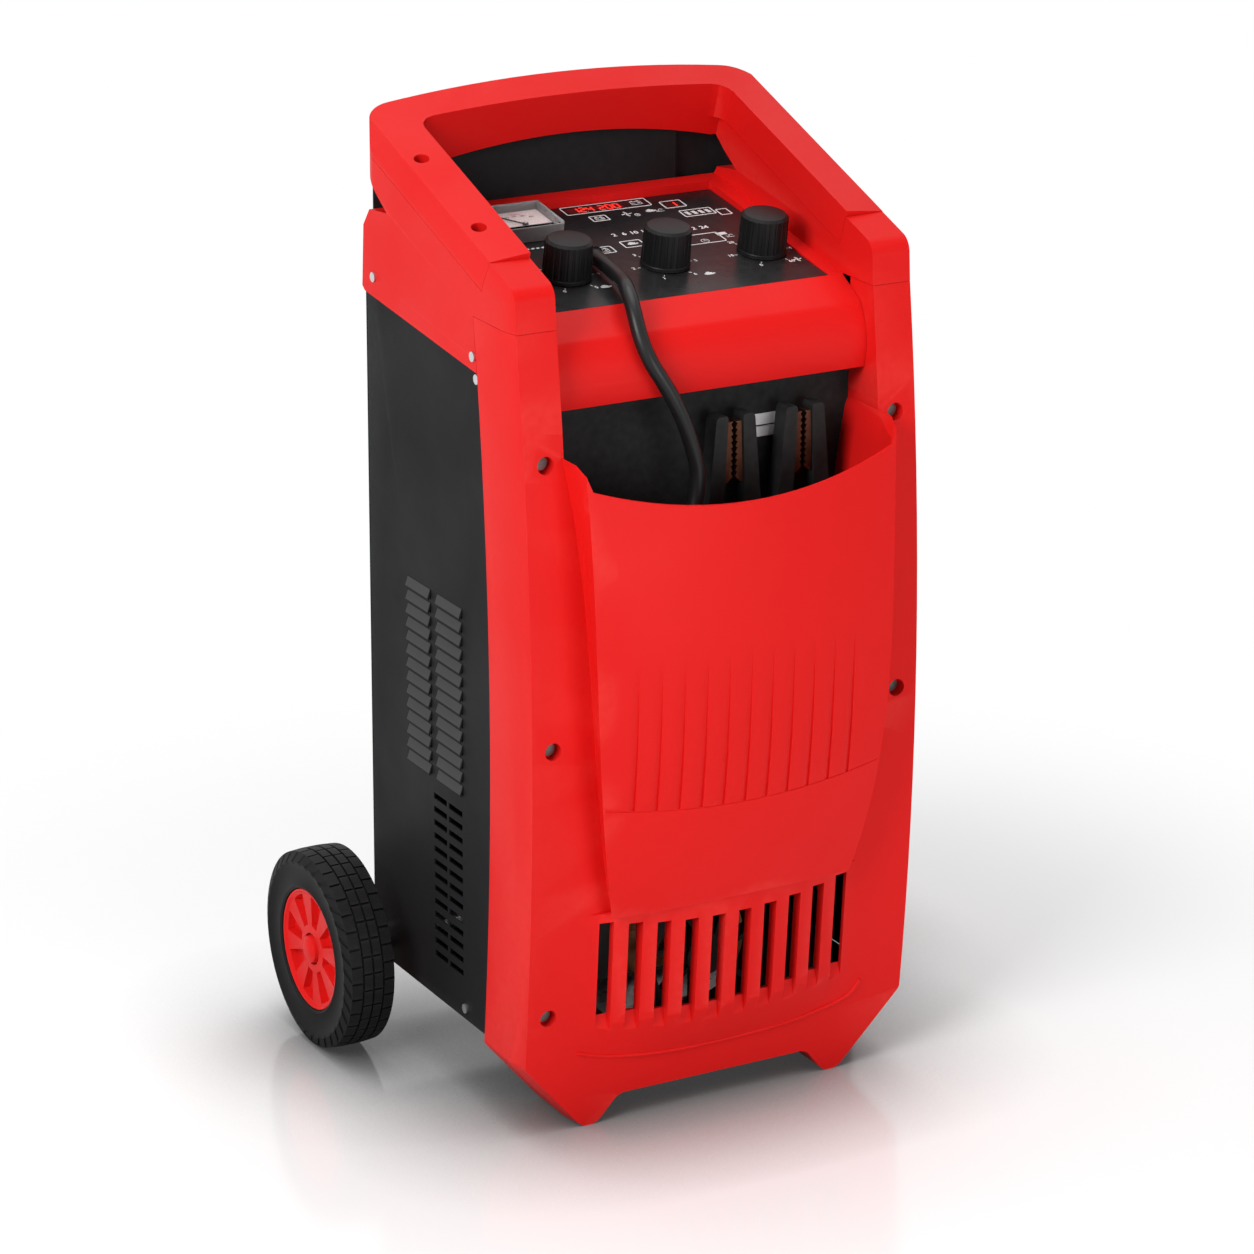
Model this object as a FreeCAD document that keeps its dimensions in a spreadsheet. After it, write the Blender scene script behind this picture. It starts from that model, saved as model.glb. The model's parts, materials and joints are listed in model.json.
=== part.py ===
import FreeCAD, Part
import Sketcher
import math
import os

# Wheeled battery charger. Millimetres. Every piece is drawn on the bench frame: X to the
# viewer's right, Y backwards from the front-most line of the posts, Z up from the floor.
# Each piece's Placement then moves it forward by the middle of the overall depth, so that
# the finished part has its origin under the middle of its box.

# Driving sizes
SIZES = (
    ("body_width", 316.0),            # outside of the red mouldings
    ("shell_wall", 2.2),
    ("fit_gap", 0.3),                 # between seated pieces
    ("sheet_gauge", 1.2),
    ("bow_radius", 2200.0),           # bow of the front face seen from the side
    ("bow_height", 280.0),            # height of the front-most line
    ("shell_depth", 58.0),            # front face to the shell's rear edge
    ("post_top", 590.0),
    ("post_inner", 125.0),            # middle to the post's inner wall
    ("bezel_inset", 2.6),
    ("bezel_depth", 17.0),
    ("foot_gap_half", 78.0),
    ("foot_gap_height", 21.0),
    ("foot_inner", 95.0),
    ("foot_outer", 110.0),
    ("corner_height", 56.0),
    ("pouch_floor", 168.0),
    ("pouch_floor_half", 97.0),
    ("pouch_mouth_half", 122.4),
    ("pouch_mouth", 486.0),           # height of the mouth's front corners
    ("pouch_mouth_rise", 17.0),       # the mouth's sides climb to the posts
    ("pouch_dip", 20.0),              # the middle of the mouth hangs down
    ("pouch_reach", 25.0),            # front corners ahead of the front-most line
    ("pouch_crown", 10.0),            # bulge of the middle past the corners
    ("belly_half", 103.0),
    ("belly_flank", 14.0),
    ("belly_reach", 1.3),             # ends of the grille ahead of the front face
    ("belly_crown", 12.0),
    ("belly_chin", 82.0),
    ("belly_lip", 47.0),
    ("slot_pitch", 21.4),
    ("slot_width", 10.5),
    ("slot_bottom", 84.0),
    ("slot_top", 155.0),
    ("slot_smile", 7.0),
    ("well_radius", 6.3),
    ("well_depth", 9.0),
    ("screw_radius", 2.4),
    ("screw_thread", 2.2),
    ("screw_head", 2.4),
    ("well_across", 139.0),
    ("well_high", 500.0),
    ("well_middle", 297.5),
    ("well_low", 94.8),
    ("pouch_back", 52.0),
    ("pouch_flare", 25.0),
    ("fin_depth", 9.0),
    ("axle_back", 241.5),             # front-most line to the axle
    ("axle_height", 75.0),            # also the wheel's radius
    ("rail_back", 46.5),              # a point on the rails' outer top edge, and its slope
    ("rail_up", 627.0),
    ("rail_slope", 18.9),
    ("rail_band", 22.0),
    ("rail_crown", 11.0),
    ("crown_radius", 1130.0),
    ("seam_along", 14.3),             # joint of top cover and handle, along the slope
    ("corner_along", -23.8),
    ("bar_along", 194.0),
    ("bar_drop", 38.0),
    ("bar_arch", 16.0),
    ("handle_back", 255.0),
    ("handle_corner", 9.0),
    ("handle_inner_corner", 12.0),
    ("handle_screw_front", 54.9),
    ("handle_screw_rear", 146.5),
    ("handle_screw_across", 144.0),
    ("handle_well", 5.5),
    ("cheek_back", 249.0),
    ("shoulder_up", 632.0),
    ("skirt_low", 553.0),
    ("skirt_lap", 48.0),
    ("cover_back", 253.0),
    ("band_low", 530.0),
    ("band_back", 31.0),
    ("deck_from", 62.5),
    ("deck_to", 243.5),
    ("deck_thick", 5.0),
    ("rim_rise", 6.0),
    ("panel_back", 76.5),             # datum of the control panel, and its slope
    ("panel_up", 592.4),
    ("panel_slope", 8.93),
    ("panel_half", 113.0),
    ("panel_near", -14.0),
    ("panel_far", 155.0),
    ("panel_thick", 2.5),
    ("knob_along", 38.0),
    ("knob_left", -68.0),
    ("knob_middle", 10.5),
    ("knob_right", 89.0),
    ("knob_radius", 17.5),
    ("knob_tall", 29.0),
    ("knob_lift", 1.0),
    ("bush_radius", 4.5),
    ("shaft_radius", 3.0),
    ("running_fit", 0.08),
    ("switch_half", 15.0),
    ("switch_deep", 24.0),
    ("meter_left", -96.0),
    ("meter_right", -36.0),
    ("meter_near", 103.0),
    ("meter_far", 144.0),
    ("meter_tall", 13.0),
    ("meter_wall", 2.0),
    ("meter_ledge", 4.0),             # the tub in the panel is this much smaller all round
    ("meter_deep", 24.0),
    ("meter_shelf", 5.0),             # seat of the dial above the panel
    ("dial_thick", 0.8),
    ("lens_thick", 2.0),
    ("needle_pin", 0.8),
    ("casing_front", 50.0),
    ("casing_back", 253.0),
    ("casing_low", 59.0),
    ("plate_across", 124.7),
    ("mount_back", 22.6),
    ("tyre_inner", 178.0),
    ("tyre_outer", 218.0),
    ("hub_radius", 45.7),
    ("axle_radius", 6.0),
    ("axle_half", 214.0),
    ("fan_half", 46.0),
    ("fan_height", 109.0),
    ("fan_front", 24.0),
    ("fan_deep", 25.0),
    ("cable_radius", 5.5),
    ("tail_radius", 3.5),
    ("coil_radius", 62.0),
    ("coil_pitch", 12.2),
    ("coil_height", 252.0),
    ("coil_start", 2.5),
    ("clamp_back", 36.0),
    ("clamp_thick", 14.0),
    ("clamp_height", 436.0),
    ("clamp_left", 20.0),
    ("clamp_right", 76.0),
    ("louvre_top", 365.0),
    ("louvre_pitch", 10.2),
    ("louvre_open", 4.6),
    ("hood_lean", 2.8),
    ("louvre_a", 104.5),
    ("louvre_b", 143.5),
    ("louvre_c", 153.5),
    ("louvre_d", 190.5),
    ("grille_top", 215.0),
    ("grille_a", 106.5),
    ("grille_b", 128.0),
    ("grille_c", 131.0),
    ("grille_d", 151.5),
    ("inlet_across", 90.0),
    ("inlet_height", 110.0),
    ("inlet_radius", 9.0),
    ("pocket_plate_half", 150.0),
    ("wide_left", -9.0),
    ("wide_right", 36.0),
    ("wide_near", 142.0),
    ("wide_far", 152.0),
    ("small_left", 66.0),
    ("small_right", 78.0),
    ("small_near", 132.0),
    ("small_far", 142.0),
    ("gland_across", -41.5),
    ("gland_along", 63.0),
    ("outlet_height", 9.5),
    ("outlet_reach", 15.0),
    ("gland_radius", 7.0),
    ("pivot_across", -60.0),
    ("pivot_along", 116.0),
    ("pin_radius", 2.0),
    ("screw_back", 233.3),
    ("screw_back_up", 582.4),
    ("screw_front", 79.4),
    ("screw_front_up", 562.1),
    ("screw_corner", 78.2),
    ("screw_corner_up", 546.0),
    ("screw_low", 102.2),
    ("screw_low_up", 69.6),
    ("case_screw", 1.5),
    ("core_back", 105.0),
    ("core_half", 66.0),
    ("core_tall", 110.0),
    ("core_deep", 50.0),
    ("sink_back", 188.0),
)

SLOTS = 10
LOUVRES = 14
GRILLE_ROWS = 13
TREADS = 36
COIL_TURNS = 3.5
HANDLE_LONG = 62
HANDLE_SPREAD = 18

doc = FreeCAD.newDocument("trolley_charger")
sheet = doc.addObject("Spreadsheet::Sheet", "Sizes")
for row, (alias, amount) in enumerate(SIZES, start=1):
    sheet.set("A%d" % row, alias)
    sheet.set("B%d" % row, str(amount))
    sheet.setAlias("B%d" % row, alias)
doc.recompute()
AMOUNTS = dict(SIZES)
NODES = []
CUTS = []


class Size:
    """A length that knows its amount now and the sheet formula that it follows."""

    def __init__(self, amount, formula):
        self.amount = float(amount)
        self.formula = formula

    def _with(self, sign, other, amount):
        return Size(amount, "(%s %s %s)" % (self.formula, sign, formula_of(other)))

    def __add__(self, other):
        return self._with("+", other, self.amount + amount_of(other))

    def __radd__(self, other):
        return as_size(other) + self

    def __sub__(self, other):
        return self._with("-", other, self.amount - amount_of(other))

    def __rsub__(self, other):
        return as_size(other) - self

    def __mul__(self, other):
        return self._with("*", other, self.amount * amount_of(other))

    def __rmul__(self, other):
        return as_size(other) * self

    def __truediv__(self, other):
        return self._with("/", other, self.amount / amount_of(other))

    def __neg__(self):
        return Size(-self.amount, "(0 - %s)" % self.formula)

    def __float__(self):
        return self.amount


def amount_of(value):
    return value.amount if isinstance(value, Size) else float(value)


def formula_of(value):
    return value.formula if isinstance(value, Size) else repr(float(value))


def as_size(value):
    return value if isinstance(value, Size) else Size(value, repr(float(value)))


def size(alias):
    return Size(AMOUNTS[alias], "Sizes." + alias)


def bind(thing, name, value):
    """Ties a property to the sheet."""
    thing.setExpression(name, formula_of(value))


class Via(tuple):
    """The middle point of an arc between the outline's points before and after it."""


# Sketch and feature helpers
PLANES = {"XY": "XY_Plane", "XZ": "XZ_Plane", "YZ": "YZ_Plane"}
FACING = {"XY": 1, "XZ": -1, "YZ": 1}     # way of the sketch's normal along its world axis


def new_body(name):
    body = doc.addObject("PartDesign::Body", name + "_body")
    body.Label = name
    return body


def new_sketch(body, plane, name, at=0):
    """A sketch on a plane of the body's own origin, moved along that plane's axis."""
    drawing = body.newObject("Sketcher::SketchObject", body.Label + "_" + name)
    support = [f for f in body.Origin.OriginFeatures if f.Role == PLANES[plane]][0]
    drawing.AttachmentSupport = [(support, "")]
    drawing.MapMode = "FlatFace"
    shift = FACING[plane] * as_size(at)
    drawing.AttachmentOffset = FreeCAD.Placement(FreeCAD.Vector(0, 0, shift.amount), FreeCAD.Rotation())
    bind(drawing, "AttachmentOffset.Base.z", shift)
    drawing.Label = body.Label + "_" + name
    return drawing


def fix_point(limits, geometry, end, place):
    """Constraints that hold a point at its two distances from the sketch's origin."""
    for kind, axis, value in (("DistanceX", -2, place[0]), ("DistanceY", -1, place[1])):
        if isinstance(value, Size):
            limits.append(((kind, -1, 1, geometry, end, value.amount), value))
        elif value == 0:
            limits.append((("PointOnObject", geometry, end, axis), None))
        else:
            limits.append(((kind, -1, 1, geometry, end, float(value)), None))


def flat(place):
    return FreeCAD.Vector(amount_of(place[0]), amount_of(place[1]), 0)


def outline(drawing, *loops):
    """Draws closed loops of lines and arcs, with every point held by sizes."""
    for loop in loops:
        limits = []
        first = drawing.GeometryCount
        corners = [i for i, place in enumerate(loop) if not isinstance(place, Via)]
        sides = []
        for n, i in enumerate(corners):
            j = corners[(n + 1) % len(corners)]
            middle = loop[i + 1] if (i + 1) % len(loop) != j else None
            sides.append((loop[i], middle, loop[j]))
        shapes = []
        extra = []
        for start, middle, end in sides:
            if middle is None:
                shapes.append(Part.LineSegment(flat(start), flat(end)))
            else:
                shapes.append(Part.Arc(flat(start), flat(middle), flat(end)))
                extra.append((len(shapes) - 1, middle))
        drawing.addGeometry(shapes + [Part.Point(flat(m)) for side, m in extra], False)
        starts = []
        ends = []
        for n, (start, middle, end) in enumerate(sides):
            turned = middle is not None and backwards(start, middle, end)
            starts.append(2 if turned else 1)
            ends.append(1 if turned else 2)
        for n, (start, middle, end) in enumerate(sides):
            after = (n + 1) % len(sides)
            limits.append((("Coincident", first + n, ends[n], first + after, starts[after]), None))
            fix_point(limits, first + n, starts[n], start)
        for k, (side, middle) in enumerate(extra):
            point = first + len(sides) + k
            fix_point(limits, point, 1, middle)
            limits.append((("PointOnObject", point, 1, first + side), None))
        apply_limits(drawing, limits)
        for k in range(len(extra)):
            drawing.setConstruction(first + len(sides) + k, True)
    return drawing


def backwards(start, middle, end):
    """Arcs are stored counter-clockwise, so a clockwise one has its ends swapped."""
    a, b, c = flat(start), flat(middle), flat(end)
    return (b - a).cross(c - b).z < 0


def apply_limits(drawing, limits):
    number = drawing.ConstraintCount
    drawing.addConstraint([Sketcher.Constraint(*words) for words, value in limits])
    for k, (words, value) in enumerate(limits):
        if value is not None:
            drawing.setExpression("Constraints[%d]" % (number + k), value.formula)


def circle(drawing, places, radius):
    """Circles of one radius at each place."""
    for place in places:
        limits = []
        number = drawing.GeometryCount
        shape = Part.Circle(flat(place), FreeCAD.Vector(0, 0, 1), amount_of(radius))
        drawing.addGeometry([shape], False)
        fix_point(limits, number, 3, place)
        limits.append((("Radius", number, amount_of(radius)), as_size(radius)))
        apply_limits(drawing, limits)
    return drawing


def box_loop(left, right, low, high):
    return [(left, low), (right, low), (right, high), (left, high)]


def feature(body, kind, drawing, name, length, way, plane):
    made = body.newObject("PartDesign::" + kind, body.Label + "_" + name)
    made.Profile = drawing
    made.Length = amount_of(length)
    bind(made, "Length", length)
    if way == 0:
        made.Midplane = True
    else:
        along = way * FACING[plane]
        made.Reversed = (along < 0) if kind == "Pad" else (along > 0)
    made.Refine = True
    return made


def pad(body, plane, name, loops, length, way=1, at=0, circles=()):
    """Material from a drawing, along +axis (way 1), -axis (way -1) or both ways (0)."""
    drawing = outline(new_sketch(body, plane, name + "_sketch", at), *loops)
    for places, radius in circles:
        circle(drawing, places, radius)
    return feature(body, "Pad", drawing, name, length, way, plane)


def cut(body, plane, name, loops, length, way=1, at=0, circles=()):
    """A cut from a drawing; the solid has to lose volume by it."""
    drawing = outline(new_sketch(body, plane, name + "_sketch", at), *loops)
    for places, radius in circles:
        circle(drawing, places, radius)
    CUTS.append(feature(body, "Pocket", drawing, name, length, way, plane))
    return CUTS[-1]


def loft(body, name, sections, adds=True, ruled=False):
    """A loft through level sections, each a height and a loop."""
    drawings = []
    for number, (height, loop) in enumerate(sections):
        drawings.append(outline(new_sketch(body, "XY", "%s_%d" % (name, number), height), loop))
    kind = "AdditiveLoft" if adds else "SubtractiveLoft"
    made = body.newObject("PartDesign::" + kind, body.Label + "_" + name)
    made.Profile = drawings[0]
    made.Sections = drawings[1:]
    made.Ruled = ruled
    made.Refine = True
    if not adds:
        CUTS.append(made)
    return made


def lathe(body, plane, name, loop, axis, adds=True):
    """A drawing turned once round the plane's upright (V) or level (H) axis."""
    drawing = outline(new_sketch(body, plane, name + "_sketch"), loop)
    kind = "Revolution" if adds else "Groove"
    made = body.newObject("PartDesign::" + kind, body.Label + "_" + name)
    made.Profile = drawing
    made.ReferenceAxis = (drawing, [axis + "_Axis"])
    made.Angle = 360
    if not adds:
        CUTS.append(made)
    return made


def rows(body, made, axis, pitch, number):
    """Repeats a feature along a world axis of the body."""
    repeat = body.newObject("PartDesign::LinearPattern", made.Label + "_rows")
    repeat.Originals = [made]
    line = [f for f in body.Origin.OriginFeatures if f.Role == axis + "_Axis"][0]
    repeat.Direction = (line, [""])
    repeat.Reversed = amount_of(pitch) < 0
    reach = as_size(pitch) * (number - 1)
    reach = -reach if reach.amount < 0 else reach
    repeat.Length = reach.amount
    bind(repeat, "Length", reach)
    repeat.Occurrences = number
    body.Tip = repeat
    return repeat


def ring(number, radius, start=0):
    """Places spaced evenly on a circle."""
    turns = [start + 360 * n / number for n in range(number)]
    return [(radius * math.cos(math.radians(t)), radius * math.sin(math.radians(t))) for t in turns]


def edges_where(feature_made, test):
    """Names of the edges whose middle point and ends pass the test."""
    doc.recompute()
    names = []
    for number, edge in enumerate(feature_made.Shape.Edges, start=1):
        middle = edge.valueAt((edge.FirstParameter + edge.LastParameter) / 2)
        if test(middle, edge):
            names.append("Edge%d" % number)
    return names


def dress(body, kind, name, base, test, radius, second=None):
    """A fillet or chamfer on the edges of the base feature that pass the test."""
    made = body.newObject("PartDesign::" + kind, body.Label + "_" + name)
    made.Base = (base, edges_where(base, test))
    if kind == "Fillet":
        made.Radius = amount_of(radius)
        bind(made, "Radius", radius)
    else:
        made.Size = amount_of(radius)
        bind(made, "Size", radius)
        if second is not None:
            made.ChamferType = "Two distances"
            made.Size2 = amount_of(second)
            bind(made, "Size2", second)
    return made


def keep(thing):
    """Registers a finished piece under its label."""
    NODES.append(thing)
    return thing


CENTRE = (size("axle_back") + size("axle_height") - size("pouch_reach") - size("pouch_crown")) / 2


def place(thing, back=0, up=0, turn=0, across=0):
    """Puts a piece drawn on the bench frame, or on a tilted one, in the part's own frame."""
    base = as_size(back) - CENTRE
    thing.Placement = FreeCAD.Placement(
        FreeCAD.Vector(amount_of(across), base.amount, amount_of(up)),
        FreeCAD.Rotation(FreeCAD.Vector(1, 0, 0), amount_of(turn)))
    bind(thing, "Placement.Base.y", base)
    if isinstance(across, Size):
        bind(thing, "Placement.Base.x", across)
    if isinstance(up, Size):
        bind(thing, "Placement.Base.z", up)
    if isinstance(turn, Size):
        bind(thing, "Placement.Rotation.Angle", turn)
    return thing


# Sizes that several pieces share
HALF = size("body_width") / 2
WALL = size("shell_wall")
GAP = size("fit_gap")
GAUGE = size("sheet_gauge")
INSET = size("bezel_inset")
BEZEL = size("bezel_depth")
POST_IN = size("post_inner")
POST_TOP = size("post_top")
DEPTH = size("shell_depth")
POUCH_BACK = size("pouch_back")
FLOOR = size("pouch_floor")
WELLS = (("high", "well_high", (-1, 1)), ("middle", "well_middle", (-1, 1)), ("low", "well_low", (-1,)))


def front_at(height):
    """How far the bowed front face lies back at a height."""
    rise = height - size("bow_height")
    return rise * rise / (2 * size("bow_radius"))


def pouch_sections(inset, lift, back):
    """Level sections of the pouch, each smaller by a wall where it is the hollow."""
    reach = size("pouch_reach")
    floor_half = size("pouch_floor_half")
    gain = size("pouch_mouth_half") - floor_half
    tall = size("pouch_mouth") - FLOOR
    stations = (                      # share of height, widening, reach, crown and side flare
        (0.0, 0.0, 0.34, 0.35, 0.22),
        (0.15, 0.38, 0.7, 0.7, 0.3),
        (0.42, 0.74, 1.0, 1.0, 0.36),
        (1.07, 1.04, 0.64, 1.0, -0.16),
    )
    flare = size("pouch_flare")
    sections = []
    for rise, widen, forward, crown, lean in stations:
        half = floor_half + gain * widen - inset
        root = half - flare * lean
        front = inset - reach * forward
        crest = front - size("pouch_crown") * crown
        loop = [(-root, back), (-root, inset), (-half, front), Via((0, crest)),
                (half, front), (root, inset), (root, back)]
        sections.append((FLOOR + lift + tall * rise, loop))
    return sections


def belly_sections(inset, fin, back):
    """Level sections of the bulging grille from its lip up to the pouch floor."""
    half = size("belly_half")
    flank = size("belly_flank")
    crown = size("belly_crown")
    levels = (
        (size("belly_lip") + inset, 0.72, 0.2, 0.08),
        (size("belly_chin") + inset, 1.0, 1.0, 1.0),
        (FLOOR + WALL / 2 - inset, 1.0, 1.0, 1.0),
    )
    sections = []
    for height, wide, ahead, bulge in levels:
        front = front_at(height) - size("belly_reach") * ahead + fin
        crest = front - crown * bulge
        side = half * wide - inset
        root = front_at(height) + back
        loop = [(-side - flank, root), (-side, front), Via((0, crest)), (side, front), (side + flank, root)]
        sections.append((height, loop))
    return sections


def front_shell():
    """Posts, storage pouch, grille and feet in one moulding."""
    body = new_body("front_shell")
    bow = size("bow_height")
    corner = size("corner_height")
    gap_top = size("foot_gap_height")
    far = 4 * DEPTH
    pad(body, "YZ", "block", [[
        (front_at(as_size(0)), 0), Via((0, bow)), (front_at(POST_TOP), POST_TOP),
        (front_at(POST_TOP) + DEPTH, POST_TOP), Via((DEPTH, bow)),
        (front_at(as_size(0)) + DEPTH, 0)]], 2 * HALF, way=0)
    for side, word in ((-1, "left"), (1, "right")):
        cut(body, "XZ", "corner_" + word, [[
            (side * size("foot_outer"), 0), (side * HALF, corner), (side * 2 * HALF, corner),
            (side * 2 * HALF, -corner), (side * size("foot_outer"), -corner)]], far, at=-DEPTH)
    trimmed = cut(body, "XZ", "foot_gap", [[
        (-size("foot_inner"), 0), (-size("foot_gap_half"), gap_top), (size("foot_gap_half"), gap_top),
        (size("foot_inner"), 0), (size("foot_inner"), -gap_top), (-size("foot_inner"), -gap_top)]],
        far, at=-DEPTH)
    limit = size("foot_outer").amount

    def front_outer(middle, edge):
        on_face = abs(middle.y - front_at(as_size(middle.z)).amount) < 1.5
        return on_face and abs(middle.x) > limit and edge.Length > 20

    dress(body, "Chamfer", "bezel", trimmed, front_outer, INSET, BEZEL)
    for name, inset, start in (("front", INSET, WALL), ("rear", as_size(0), BEZEL + WALL)):
        cut(body, "YZ", "hollow_" + name, [[
            (front_at(corner) + start, corner), Via((start, bow)), (front_at(POST_TOP) + start, POST_TOP),
            (2 * DEPTH, POST_TOP), (2 * DEPTH, corner)]], 2 * (HALF - WALL - inset), way=0)
    sill = gap_top + WALL
    sill_half = size("foot_outer") + (HALF - size("foot_outer")) * sill / corner - 2 * WALL
    cut(body, "XZ", "hollow_low", [box_loop(-sill_half, sill_half, sill, corner)], far,
        at=front_at(sill) + WALL)
    loft(body, "pouch", pouch_sections(as_size(0), as_size(0), POUCH_BACK - GAP))
    loft(body, "belly", belly_sections(as_size(0), as_size(0), WALL / 2), ruled=True)
    for side, word in ((-1, "left"), (1, "right")):
        low = size("pouch_mouth")
        start = POST_IN if side > 0 else -POST_IN
        pad(body, "YZ", "post_wall_" + word, [[
            (front_at(low) + WALL / 2, low), (front_at(POST_TOP) + WALL / 2, POST_TOP),
            (POUCH_BACK - GAP, POST_TOP), (POUCH_BACK - GAP, low)]], WALL, way=side, at=start)
    mouth = size("pouch_mouth")
    brow = mouth + size("pouch_mouth_rise")
    lean_in = size("pouch_mouth_half") - size("pouch_mouth_rise") / 4
    top = POST_TOP + DEPTH
    cut(body, "XZ", "window", [[
        (-POST_IN, brow), (-lean_in, mouth), Via((0, mouth - size("pouch_dip"))),
        (lean_in, mouth), (POST_IN, brow), (POST_IN, top), (-POST_IN, top)]], far, at=-DEPTH)
    loft(body, "pouch_hollow", pouch_sections(WALL, WALL, POUCH_BACK + DEPTH), adds=False)
    loft(body, "belly_hollow", belly_sections(WALL, size("fin_depth"), BEZEL), adds=False, ruled=True)
    cut(body, "YZ", "brow", [[
        (-DEPTH, brow), (front_at(brow), brow), (front_at(brow + BEZEL), brow + BEZEL),
        (-DEPTH, brow + BEZEL)]], 2 * POST_IN + 2 * WALL, way=0)
    slots = []
    middle = (SLOTS - 1) / 2
    for number in range(SLOTS):
        away = number - middle
        left = size("slot_pitch") * away - size("slot_width") / 2
        lift = size("slot_smile") * (away * away / middle / middle)
        slots.append(box_loop(left, left + size("slot_width"), size("slot_bottom") + lift,
                              size("slot_top") + lift))
    cut(body, "XZ", "slots", slots, DEPTH + BEZEL, at=-DEPTH)
    across = size("well_across")
    for word, alias, sides in WELLS:
        height = size(alias)
        places = [(side * across, height) for side in sides]
        face = front_at(height)
        deep = size("well_depth")
        pad(body, "XZ", "boss_" + word, [], size("mount_back") - GAP - face - WALL / 2, at=face + WALL / 2,
            circles=[(places, size("well_radius") + WALL)])
        cut(body, "XZ", "well_" + word, [], deep + WALL, at=face - WALL,
            circles=[(places, size("well_radius"))])
        cut(body, "XZ", "screw_hole_" + word, [], DEPTH, at=face - WALL,
            circles=[(places, size("screw_radius"))])
    place(body)
    return keep(body)


# Slopes of the handle and of the control panel
def slope_terms(alias):
    """Cosine and sine of a slope held in the sheet."""
    angle = math.radians(AMOUNTS[alias])
    return (Size(math.cos(angle), "cos(Sizes.%s)" % alias), Size(math.sin(angle), "sin(Sizes.%s)" % alias))


COS, SIN = slope_terms("rail_slope")
PANEL_COS, PANEL_SIN = slope_terms("panel_slope")
KNOB_PLACES = ("knob_left", "knob_middle", "knob_right")
HANDLE_SCREWS = ("handle_screw_front", "handle_screw_rear")


def slope_point(along, above):
    """A bench point (back, up) given along and square to the rail's outer top edge."""
    return (size("rail_back") + along * COS - above * SIN, size("rail_up") + along * SIN + above * COS)


def deck_height(back):
    """Height of the control panel's top face at a distance back."""
    return size("panel_up") + (back - size("panel_back")) * PANEL_SIN / PANEL_COS


DISPLAYS = (
    ("wide_left", "wide_right", "wide_near", "wide_far"),
    ("small_left", "small_right", "small_near", "small_far"),
)


def open_box(left, right, near, far, inset):
    """A box on the bench plan that clears something standing in the tilted panel."""
    return box_loop(size(left) + inset, size(right) - inset, panel_point(size(near) + inset - 1, 0)[0],
                    panel_point(size(far) - inset + 1, 0)[0])


def case_screws():
    """Side screws through the cover's skirt and through the sheet alone."""
    skirt = [(size("screw_back"), size("screw_back_up")), (size("screw_front"), size("screw_front_up"))]
    sheet = [(size("screw_corner"), size("screw_corner_up")), (size("screw_low"), size("screw_low_up"))]
    return skirt, sheet


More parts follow.
